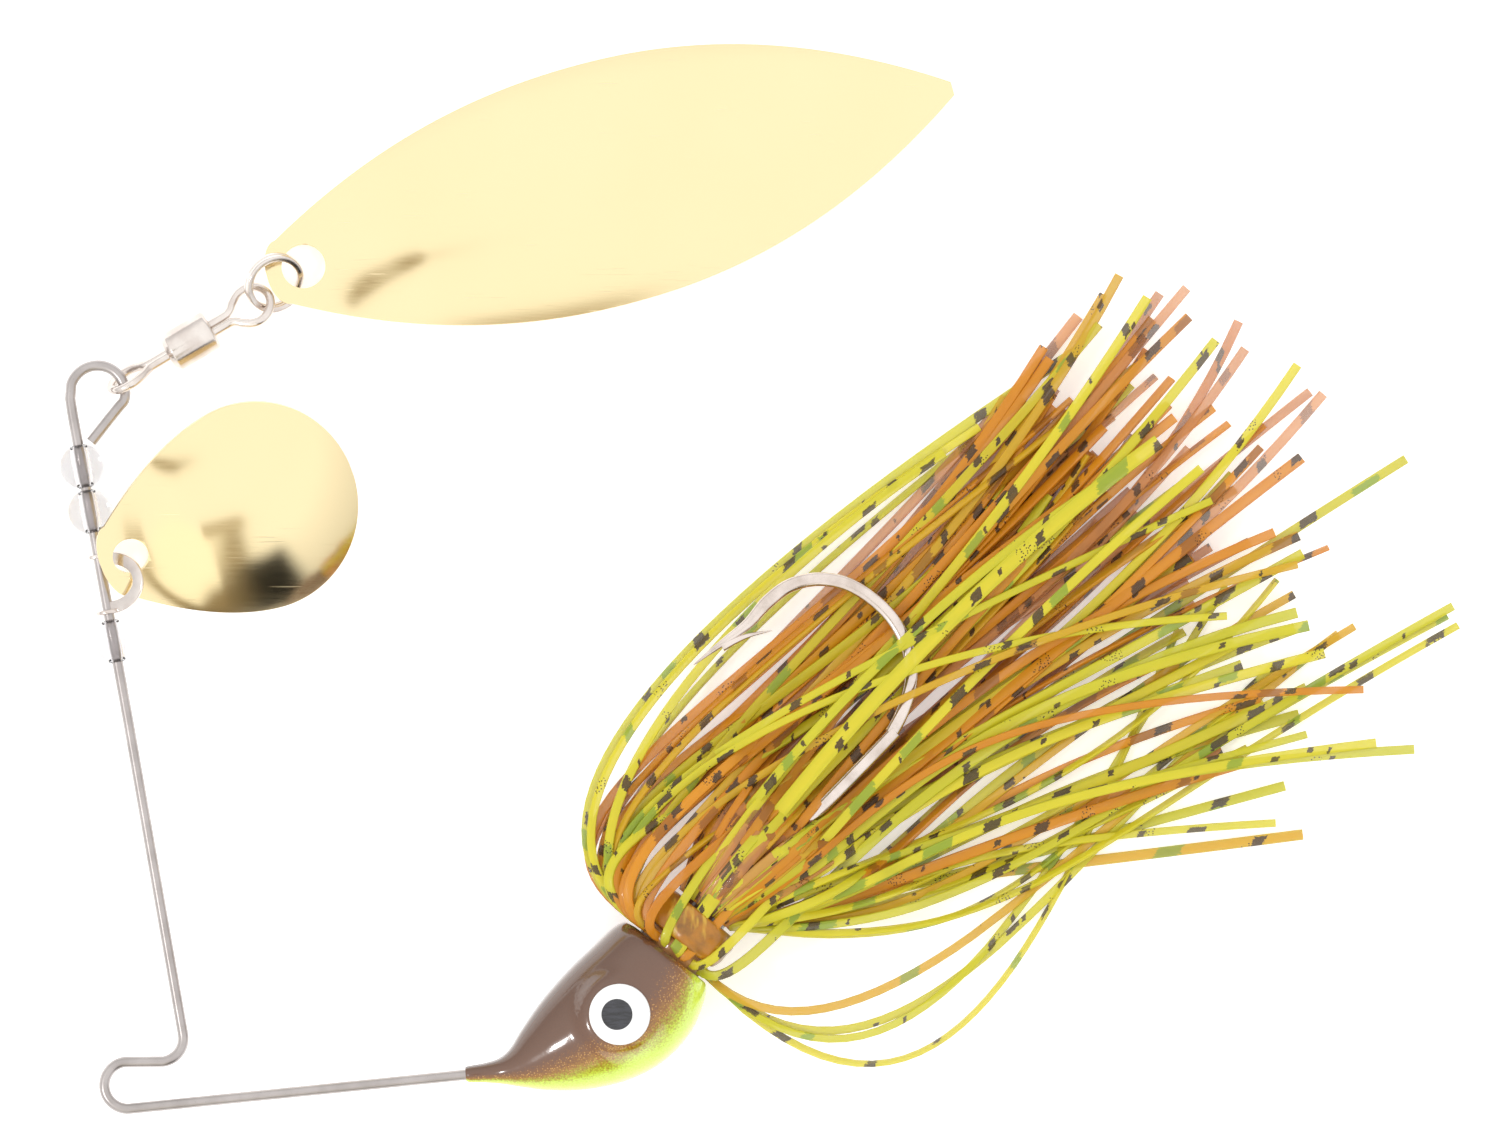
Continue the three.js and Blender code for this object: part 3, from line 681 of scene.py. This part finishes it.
piece("collar_glue", uneven, glue_ring[1], GLUE, ["skirt_collar"], collar_place)

# ---------------------------------------------------------------- beads

edge = math.asin(BEAD["bore"] / BEAD["radius"])
bead_outline = [(BEAD["radius"] * math.sin(edge + (math.pi - 2 * edge) * i / 30),
                 -BEAD["radius"] * math.cos(edge + (math.pi - 2 * edge) * i / 30)) for i in range(31)]
for name, s in BEAD_AT.items():
    place = IN_WIRE @ Matrix.Translation(on_arm(s)) @ turn_to(heading(ARM_HEADING))
    piece(f"{name}_clear", *turned(bead_outline, 48), CLEAR, [name], place, sharp=50)

# ---------------------------------------------------------------- clevis


def make_clevis():
    reach, half = CLEVIS["reach"] - CLEVIS["band"] / 2, CLEVIS["half"] - CLEVIS["band"] / 2
    path = [Vector((0.35, -half, 0))]
    for i in range(41):
        angle = math.radians(-90 + 180 * i / 40)
        path.append(Vector((0.8 + reach * math.cos(angle), half * math.sin(angle), 0)))
    path.append(Vector((0.35, half, 0)))
    strip = sweep(path, rounded_bar(CLEVIS["thick"] / 2, CLEVIS["band"] / 2, 0.45, 3))
    thick = CLEVIS["thick"] / 2
    washer = turned(softened([(0.65, -thick), (CLEVIS["ear"], -thick), (CLEVIS["ear"], thick),
                              (0.65, thick)], 0.08), 40)
    upright = Matrix.Rotation(math.pi / 2, 4, "X")
    ears = [moved(washer, Matrix.Translation((0, end * CLEVIS["ears"], 0)) @ upright) for end in (-1, 1)]
    return merge(strip, *ears)


clevis_place = (IN_WIRE @ Matrix.Translation(on_arm(CLEVIS["at"]))
                @ Matrix.Rotation(math.radians(ARM_HEADING - 90), 4, "Z")
                @ Matrix.Rotation(math.radians(CLEVIS["roll"]), 4, "Y"))
piece("clevis_strip", *make_clevis(), NICKEL, ["clevis"], clevis_place, sharp=50)

# ---------------------------------------------------------------- blades


def half_width(blade, x):
    part = abs(x - blade["widest"])
    half = blade["half"]
    if x > blade["widest"]:
        t = min(1.0, part / blade["tip"])
        return half * (math.sqrt(1 - t * t) if blade["round"] else 1 - t ** blade["tip_power"])
    if x >= blade["nose"]:
        return half * (1 - (part / blade["root"]) ** blade["root_power"])
    at_nose = half * (1 - ((blade["widest"] - blade["nose"]) / blade["root"]) ** blade["root_power"])
    return at_nose * math.sqrt(max(0.0, 1 - (1 - x / blade["nose"]) ** 2))


def dome_at(blade, x, y):
    half = half_width(blade, x)
    crown = max(0.0, 1 - (y / half) ** 2) if half > 0 else 0.0
    depth = (half / blade["half"]) ** blade["cup"]
    return blade["dome"] * smoothstep(x, 1, blade["rise"]) * depth * crown


def make_blade(name, node, blade, place, steps, across):
    """A domed sheet with a rounded rim and a bored hole."""
    rings = []
    thick = blade["thick"] / 2
    for i in range(steps + 1):
        share = (1 - math.cos(math.pi * i / steps)) / 2
        x = 0.02 + (blade["length"] - 0.04) * share
        half = max(half_width(blade, x), 0.02)
        top = []
        for j in range(across + 1):
            y = half * math.cos(math.pi * j / across)
            top.append((y, dome_at(blade, x, y)))
        ring = [Vector((x - blade["to_hole"], y, z + thick)) for y, z in top]
        ring += [Vector((x - blade["to_hole"], y, z - thick)) for y, z in reversed(top)]
        rings.append(ring)
    verts, faces = loft(rings)
    mesh = solid_mesh(name, [place @ v for v in verts], faces)
    mesh.materials.append(GOLD)
    made = bpy.data.objects.new(name, mesh)
    bpy.context.scene.collection.objects.link(made)

    bore_verts, bore_faces = sweep([Vector((0, 0, -4)), Vector((0, 0, 4))], circle(blade["bore"], 72),
                                   up=Vector((1, 0, 0)))
    cutter = bpy.data.objects.new("cutter", solid_mesh("cutter", [place @ v for v in bore_verts],
                                                       bore_faces))
    bpy.context.scene.collection.objects.link(cutter)
    cut = made.modifiers.new("cut", "BOOLEAN")
    cut.operation = "DIFFERENCE"
    cut.solver = "EXACT"
    cut.object = cutter
    rim = made.modifiers.new("rim", "BEVEL")
    rim.width = 0.00012
    rim.segments = 2
    rim.limit_method = "ANGLE"
    rim.angle_limit = math.radians(50)
    apply_modifiers(made)
    bpy.data.objects.remove(cutter)
    made.data.shade_smooth()
    made.data.set_sharp_from_angle(angle=math.radians(50))
    return settle(made, [node])


def blade_turn(blade):
    return (Matrix.Rotation(math.radians(blade["towards"]), 4, "Z")
            @ Matrix.Rotation(math.radians(blade["pitch"]), 4, "Y")
            @ Matrix.Rotation(math.radians(blade["roll"]), 4, "X"))


colorado_hole = leaning @ flat(COLORADO["hole"]) + Vector((0, 0, COLORADO["above"]))
small_place = ON_TABLE @ Matrix.Translation(colorado_hole) @ blade_turn(COLORADO)
large_place = ON_TABLE @ Matrix.Translation(flat(WILLOW["hole"], WILLOW["height"])) @ blade_turn(WILLOW)
make_blade("round_blade", "small_blade", COLORADO, small_place, 110, 64)
make_blade("willow_blade", "large_blade", WILLOW, large_place, 160, 64)

# ---------------------------------------------------------------- swivel and split ring

swivel_from = leaning @ flat(SWIVEL["start"])
swivel_to = flat(SWIVEL["end"], SWIVEL["height"])
swivel_place = (ON_TABLE @ Matrix.Translation(swivel_from)
                @ turn_to((swivel_to - swivel_from).normalized(), Vector((1, 0, 0))))


def make_swivel_eye():
    legs = SWIVEL["wire"] + 0.03
    end = BARREL["start"] + 1.3

    def leg(side):
        return [flat((end, side * legs)), flat((2.9, side * legs)), flat((2.45, side * (legs + 0.02))),
                flat((2.0, side * 0.68)), flat((1.6, side * 1.12))]

    bend = arc((0, 0), SWIVEL["eye"], 52, 308, 40)
    wire = sweep(leg(1) + bend + leg(-1)[::-1], circle(SWIVEL["wire"], 16))
    upset = turned(softened([(0.001, -0.3), (1.25, -0.3), (1.25, 0.3), (0.001, 0.3)], 0.15), 32)
    head = moved(upset, Matrix.Translation((end - 0.25, 0, 0)) @ Matrix.Rotation(math.pi / 2, 4, "Y"))
    return merge(wire, head)


lower_place = swivel_place @ Matrix.Rotation(math.radians(-68), 4, "X")
piece("lower_eye", *make_swivel_eye(), NICKEL, ["swivel_eye_lower"], lower_place, sharp=60)
upper_place = (swivel_place @ Matrix.Translation(((swivel_to - swivel_from).length, 0, 0))
               @ Matrix.Rotation(math.radians(-24), 4, "X") @ Matrix.Rotation(math.pi, 4, "Z"))
piece("upper_eye", *make_swivel_eye(), NICKEL, ["swivel_eye_upper"], upper_place, sharp=60)

length, radius, mouth = BARREL["length"], BARREL["radius"], BARREL["mouth"]
barrel_outline = softened([
    (mouth, 0.0), (radius - 0.6, 0.0), (radius, 0.5), (radius, length - 0.22),
    (radius - 0.2, length), (mouth, length), (mouth, length - 0.7), (1.5, length - 0.7),
    (1.5, 0.7), (mouth, 0.7),
], 0.09)
barrel_place = (swivel_place @ Matrix.Translation((BARREL["start"], 0, 0))
                @ Matrix.Rotation(math.pi / 2, 4, "Y"))
piece("barrel", *turned(barrel_outline, 72), NICKEL, ["swivel_barrel"], barrel_place, sharp=60)

ring_points = []
for i in range(181):
    angle = 30 + 660 * i / 180
    level = (RING["high"] + 0.04) * (smoothstep(angle, 330, 390) - 0.5)
    ring_points.append(heading(angle) * RING["radius"] + Vector((0, 0, level)))
ring_bar = sweep(ring_points, rounded_bar(RING["high"] / 2, RING["wide"] / 2, 0.5, 3))
ring_place = (ON_TABLE @ Matrix.Translation(flat(RING["centre"], RING["height"]))
              @ Matrix.Rotation(math.radians(RING["lean"]), 4, heading(45)))
piece("ring_turns", *ring_bar, NICKEL, ["split_ring"], ring_place, sharp=60)

# ---------------------------------------------------------------- skirt

rng = random.Random(11)
COLLAR_CENTRE = leaning @ flat(COLLAR["start"])
FLOOR_CLEAR = 0.35
STRAND_STEPS = 34
STRAND_HALF_THICK = 0.19
FRONT_START, REAR_START = (3.5, -0.7), (2.9, 4.0)  # out from the post, and along it
LOOKS = {"y": CHARTREUSE, "o": ORANGE, "c": COPPER}
skirt_parts = {"y": [], "o": [], "c": []}
strand_count = 0


def bezier(a, b, c, d, t):
    s = 1 - t
    return a * s ** 3 + b * 3 * s * s * t + c * 3 * s * t * t + d * t ** 3


def lane_height(point, z, over, lane):
    """Strands under the hook stay below its bend, and those over it stay above."""
    along = (flat(point) - flat(COLLAR_CENTRE)).dot(POST)
    at_hook = smoothstep(along, 10, 21)
    if over:
        floor = 6.9 * smoothstep(along, 8, 18) * (1 - smoothstep(along, 36, 60))
        return max(z, floor)
    ceiling = 12.0 + (lane - 12.0) * at_hook
    return max(FLOOR_CLEAR, min(z, ceiling))


def strand(look, tip, turn, front, reach, settle_by, lane, over=False, end=None, width=0.92, tilt=0.0,
           tip_height=None, spread=0.45):
    """One flat strand from the collar to its tip. Turn is where on the collar it starts: 0 is
    on the left, 90 on top and 180 on the right."""
    global strand_count
    strand_count += 1
    a = math.radians(turn)
    radial = LEFT * math.cos(a) + Vector((0, 0, math.sin(a)))
    outward, onward = FRONT_START if front else REAR_START
    start = COLLAR_CENTRE + radial * outward + POST * onward
    if front:
        way = radial + POST * -0.12
    else:
        way = POST + radial * spread
    towards = heading(end) if end is not None else (flat(tip) - flat(COLLAR_CENTRE)).normalized()
    b = start + way.normalized() * reach
    b.z = COLLAR_CENTRE.z + (b.z - COLLAR_CENTRE.z) * (0.55 if front else 1.0)
    c = flat(tip, lane) - towards * settle_by
    d = flat(tip, tip_height if tip_height is not None else max(FLOOR_CLEAR, lane * 0.7))
    points = []
    for i in range(STRAND_STEPS + 1):
        p = bezier(start, b, c, d, i / STRAND_STEPS)
        p.z = lane_height(p, p.z, over, lane)
        points.append(p)
    rings = []
    section = rounded_bar(STRAND_HALF_THICK, width / 2, 0.6, 2)
    wobble = rng.uniform(0, 6.28)
    for i, p in enumerate(points):
        along = (points[min(i + 1, STRAND_STEPS)] - points[max(i - 1, 0)]).normalized()
        share = i / STRAND_STEPS
        out = Vector((0, 0, 1)).lerp(radial, (1 - smoothstep(share, 0.02, 0.22)) * 0.9)
        across = along.cross(out).normalized()
        up = across.cross(along)
        lean = tilt * smoothstep(share, 0.03, 0.3) + 0.12 * math.sin(3 * share + wobble)
        side = across * math.cos(lean) + up * math.sin(lean)
        rise = up * math.cos(lean) - across * math.sin(lean)
        rings.append([p + side * s + rise * h for h, s in section])
    verts, faces = loft(rings)
    lengths = [0.0]
    for p, q in zip(points, points[1:]):
        lengths.append(lengths[-1] + (q - p).length)
    per = len(section)
    first = strand_count * STRAND_APART
    uvs = [(first + lengths[i // per], section[i % per][1]) for i in range(len(rings) * per)]
    uvs += [(first, 0.0), (first + lengths[-1], 0.0)]
    skirt_parts[look].append((verts, faces, uvs))


# Strands with a place of their own: look, tip, turn, front, reach, settle, lane, options.
PLACED = [
    # left edge, folded back from the front of the collar
    ("y", (91.3, 71.0), 4, True, 19, 42, 1.5, dict(end=33, width=0.96)),
    ("y", (82.3, 63.9), 12, True, 17, 34, 2.2, dict(end=33, width=0.80)),
    ("y", (86.5, 66.5), -8, True, 15, 36, 1.0, dict(end=38, width=0.80, tilt=0.7)),
    ("y", (79.0, 61.5), 20, True, 13, 30, 2.8, dict(end=34, width=0.88)),
    ("y", (93.5, 73.5), 28, True, 11, 38, 3.2, dict(end=50, width=0.88)),
    ("o", (88.9, 70.3), 24, True, 12, 36, 2.6, dict(end=56, width=0.96)),
    ("o", (95.4, 78.1), 38, True, 11, 40, 3.0, dict(end=62, width=0.88)),
    ("o", (98.5, 74.0), 46, True, 10, 40, 3.6, dict(end=52, width=0.96)),
    # tips along the right edge, about from the top down
    ("y", (98.0, 76.0), 60, False, 14, 34, 4.4, dict(end=58)),
    ("c", (99.2, 76.4), 50, False, 14, 34, 2.4, dict(end=56)),
    ("c", (101.7, 76.9), 70, False, 14, 34, 3.4, dict(end=50)),
    ("o", (101.9, 74.2), 80, False, 14, 34, 4.2, dict(end=44)),
    ("y", (104.4, 72.0), 85, False, 16, 34, 4.6, dict(end=52)),
    ("c", (106.6, 73.8), 60, False, 16, 34, 2.2, dict(end=66)),
    ("c", (107.2, 71.2), 75, False, 16, 34, 3.0, dict(end=56)),
    ("y", (112.1, 69.7), 100, False, 16, 36, 3.0, dict(end=56, width=0.88)),
    ("c", (113.3, 67.2), 110, False, 16, 34, 2.0, dict(end=38, width=0.88)),
    ("c", (114.5, 67.0), 100, False, 18, 34, 2.8, dict(end=50, width=0.96)),
    ("y", (122.3, 60.9), 130, False, 18, 40, 1.6, dict(end=32, width=0.88)),
    ("o", (109.9, 54.0), 120, False, 16, 34, 4.0, dict(end=22)),
    ("o", (112.2, 53.7), 125, False, 16, 34, 3.4, dict(end=24)),
    ("o", (115.0, 52.6), 132, False, 16, 40, 3.0, dict(end=22, width=0.64, tilt=1.0)),
    ("y", (110.2, 49.6), 150, False, 18, 30, 2.0, dict(end=52, width=0.72, tilt=1.0)),
    # long ones that cross to the lower right
    ("y", (126.7, 47.1), 176, False, 24, 44, 1.8, dict(end=29, width=0.80, spread=1.3)),
    ("y", (127.2, 45.3), 180, False, 29, 44, 1.4, dict(end=29, width=0.72, tilt=0.8, spread=1.5)),
    ("y", (126.2, 46.2), 184, False, 26, 44, 1.0, dict(end=28, width=0.72, tilt=0.6, spread=1.1)),
    ("y", (114.2, 43.2), 188, False, 30, 34, 0.8, dict(end=33, width=0.72, tilt=0.9, spread=1.6)),
    ("y", (117.5, 45.2), 182, False, 22, 38, 1.1, dict(end=31, width=0.72, spread=1.2)),
    ("y", (113.1, 45.3), 150, False, 20, 38, 4.2, dict(end=12, width=1.04)),
    ("y", (114.6, 42.7), 156, False, 20, 38, 3.6, dict(end=14, width=0.96)),
    ("o", (118.2, 39.3), 140, False, 22, 44, 5.0, dict(end=1, width=0.72)),
    ("y", (119.4, 34.3), 165, False, 22, 44, 4.4, dict(end=7, width=0.88, spread=0.8)),
    ("y", (123.0, 33.7), 170, False, 20, 46, 3.8, dict(end=3, width=0.88, spread=0.9)),
    # folded back from the front of the collar, high in the skirt
    ("y", (105.4, 46.2), 18, True, 13, 42, 6.0, dict(end=3, width=0.72, over=True)),
    ("o", (112.0, 51.0), 32, True, 11, 42, 6.0, dict(end=13, width=0.72, over=True)),
    ("y", (104.0, 57.0), 12, True, 15, 44, 5.0, dict(end=24, width=0.72, over=True)),
    ("y", (99.0, 62.5), 94, True, 5, 34, 6.5, dict(end=36, width=1.40, over=True)),
    ("y", (97.0, 60.8), 76, True, 7, 34, 6.5, dict(end=32, width=0.88, over=True)),
    ("y", (103.0, 60.0), 128, True, 6, 40, 6.0, dict(end=40, width=0.9)),
    ("y", (112.0, 46.5), 152, True, 8, 40, 4.0, dict(end=14, width=1.0)),
    ("o", (100.0, 66.0), 108, True, 5, 38, 5.0, dict(end=46, width=0.9)),
    # loops that hang out below the collar
    ("y", (116.0, 44.5), 178, True, 20, 26, 0.8, dict(end=36, width=0.80)),
    ("y", (110.0, 41.5), 186, True, 25, 26, 0.6, dict(end=42, width=0.80)),
    ("y", (101.0, 45.0), 190, True, 34, 28, 0.5, dict(end=66, width=0.70, tilt=0.9)),
    ("y", (105.5, 49.0), 182, True, 29, 26, 0.5, dict(end=56, width=0.72)),
]
for look, tip, turn, front, reach, settle_by, lane, options in PLACED:
    strand(look, tip, turn, front, reach, settle_by, lane, **options)


def fill(look, count, headings, distances, turns, lanes, front=False, reach=(10, 18), spread=0.45,
         settle_by=(28, 40), aim=0):
    """More strands of the same sheaf, tips spread over a fan."""
    for i in range(count):
        share = (i + rng.uniform(0.1, 0.9)) / count
        angle = headings[0] + (headings[1] - headings[0]) * share
        tip = flat(COLLAR_CENTRE) + heading(angle) * rng.uniform(*distances)
        turn = turns[0] + (turns[1] - turns[0]) * share + rng.uniform(-22, 22)
        strand(look, tip, turn, front, rng.uniform(*reach), rng.uniform(*settle_by), rng.uniform(*lanes),
               end=angle + aim + rng.uniform(-9, 9), width=rng.uniform(0.70, 1.12),
               tilt=rng.choice((0, 0.2, -0.3, 0.5, 0.9)), spread=spread)


fill("c", 17, (58, 33), (56, 72), (20, 165), (0.6, 2.4))
fill("o", 17, (57, 36), (58, 74), (15, 160), (1.8, 4.2))
fill("y", 10, (52, 16), (56, 72), (40, 180), (1.2, 4.4))
fill("o", 7, (56, 44), (54, 68), (0, 42), (2.5, 4.4), front=True, reach=(9, 15))
fill("y", 3, (56, 50), (50, 60), (0, 24), (2.5, 4.4), front=True, reach=(14, 19))
fill("o", 10, (60, 49), (56, 70), (2, 20), (1.6, 4.0), front=True, reach=(14, 19), settle_by=(38, 46),
     aim=-5)
fill("c", 4, (60, 50), (56, 68), (0, 20), (1.0, 2.4), front=True, reach=(12, 16), settle_by=(38, 44),
     aim=-4)
fill("c", 6, (50, 30), (50, 66), (-30, -140), (0.4, 1.4))
fill("y", 9, (33, 8), (52, 68), (168, 196), (0.5, 1.8), reach=(16, 26), spread=0.95)
fill("o", 4, (30, 14), (50, 62), (150, 180), (0.8, 2.4), reach=(16, 24), spread=0.8)

outer_nodes = sorted(n for n in frame["nodes"] if n.startswith("strand_outer"))
inner_nodes = sorted(n for n in frame["nodes"] if n.startswith("strand_inner"))
STANDS_FOR = {"y": outer_nodes, "o": inner_nodes[:9], "c": inner_nodes[9:]}
NAMES = {"y": "chartreuse", "o": "pumpkin", "c": "copper"}
for look, parts in skirt_parts.items():
    for i, (verts, faces, uvs) in enumerate(parts):
        stands_for = STANDS_FOR[look][i::len(parts)] or STANDS_FOR[look][-1:]
        made = piece(f"strand_{NAMES[look]}_{i + 1:02d}", verts, faces, LOOKS[look], stands_for,
                     ON_TABLE, uvs=uvs, sharp=60)

# ---------------------------------------------------------------- floor and light

FLOOR_SIZE = 6.0
FLOOR_GLOW = 0.42
SKY_LOW, SKY_HIGH = rgb(0.75, 0.75, 0.76), rgb(1.22, 1.22, 1.22)
KEY_LIGHT = dict(heading=-160, elevation=48, distance=0.8, size=0.10, watts=0.9)
# Bright and dark cards round the lure, which its blades reflect: heading from and to,
# elevation from and to, softness, all in degrees, and the colour there.
CARDS = [
    ((-125, -84), (26, 50), 6, (1.30, 1.28, 1.20)),
    ((-79, -75), (12, 52), 4, (0.36, 0.28, 0.16)),
    ((-90, -80), (10, 20), 8, (0.34, 0.27, 0.17)),
    ((-72, -60), (8, 28), 10, (0.01, 0.01, 0.01)),
    ((-172, -152), (72, 79), 5, (0.40, 0.32, 0.20)),
    ((-90, -72), (53, 56), 4, (0.60, 0.52, 0.40)),
]


def studio():
    mesh = bpy.data.meshes.new("floor")
    size = FLOOR_SIZE
    mesh.from_pydata([(-size, -size, 0), (size, -size, 0), (size, size, 0), (-size, size, 0)], [],
                     [(0, 1, 2, 3)])
    n = Nodes("floor", Roughness=0.7, Emission_Color=rgb(1, 1, 1), Emission_Strength=FLOOR_GLOW)
    n.drive("Base Color", n.mix(n.noise(n.object_position(), 3), rgb(0.92, 0.92, 0.92),
                                rgb(0.94, 0.94, 0.94)))
    mesh.materials.append(n.material)
    floor = bpy.data.objects.new("floor", mesh)
    bpy.context.scene.collection.objects.link(floor)

    world = bpy.data.worlds.new("studio")
    bpy.context.scene.world = world
    world.use_nodes = True
    tree = world.node_tree
    background = tree.nodes["Background"]
    direction = tree.nodes.new("ShaderNodeTexCoord").outputs["Generated"]
    height = tree.nodes.new("ShaderNodeSeparateXYZ")
    tree.links.new(direction, height.inputs[0])
    dome = tree.nodes.new("ShaderNodeValToRGB")
    tree.links.new(height.outputs["Z"], dome.inputs[0])
    dome.color_ramp.elements[0].position = 0.0
    dome.color_ramp.elements[0].color = SKY_LOW
    dome.color_ramp.elements[1].position = 0.6
    dome.color_ramp.elements[1].color = SKY_HIGH

    def node_math(operation, a, b=0.0):
        node = tree.nodes.new("ShaderNodeMath")
        node.operation = operation
        for k, value in enumerate((a, b)):
            if isinstance(value, bpy.types.NodeSocket):
                tree.links.new(value, node.inputs[k])
            else:
                node.inputs[k].default_value = value
        return node.outputs[0]

    def window(value, low, high, soft):
        """1 between low and high, in degrees, falling to 0 over soft degrees outside."""
        made = []
        for edge, way in ((low, 1), (high, -1)):
            ramp = tree.nodes.new("ShaderNodeMapRange")
            ramp.interpolation_type = "SMOOTHSTEP"
            ramp.inputs["From Min"].default_value = math.radians(edge - way * soft)
            ramp.inputs["From Max"].default_value = math.radians(edge)
            tree.links.new(value, ramp.inputs["Value"])
            made.append(ramp.outputs[0])
        return node_math("MULTIPLY", *made)

    colour = dome.outputs[0]
    heading_of = node_math("ARCTAN2", height.outputs["Y"], height.outputs["X"])
    elevation_of = node_math("ARCSINE", height.outputs["Z"])
    for (west, east), (low, high), soft, depth in CARDS:
        inside = node_math("MULTIPLY", window(heading_of, west, east, soft),
                           window(elevation_of, low, high, soft))
        times = tree.nodes.new("ShaderNodeMix")
        times.data_type = "RGBA"
        tree.links.new(inside, times.inputs[0])
        tree.links.new(colour, times.inputs[6])
        times.inputs[7].default_value = rgb(*depth)
        colour = times.outputs[2]
    tree.links.new(colour, background.inputs["Color"])
    background.inputs["Strength"].default_value = 1.0

    data = bpy.data.lights.new("key", "AREA")
    data.size = KEY_LIGHT["size"]
    data.energy = KEY_LIGHT["watts"]
    light = bpy.data.objects.new("key", data)
    e = math.radians(KEY_LIGHT["elevation"])
    towards = heading(KEY_LIGHT["heading"]) * math.cos(e) + Vector((0, 0, math.sin(e)))
    light.location = towards * KEY_LIGHT["distance"]
    light.rotation_mode = "QUATERNION"
    light.rotation_quaternion = light.location.to_track_quat("Z", "Y")
    bpy.context.scene.collection.objects.link(light)


studio()
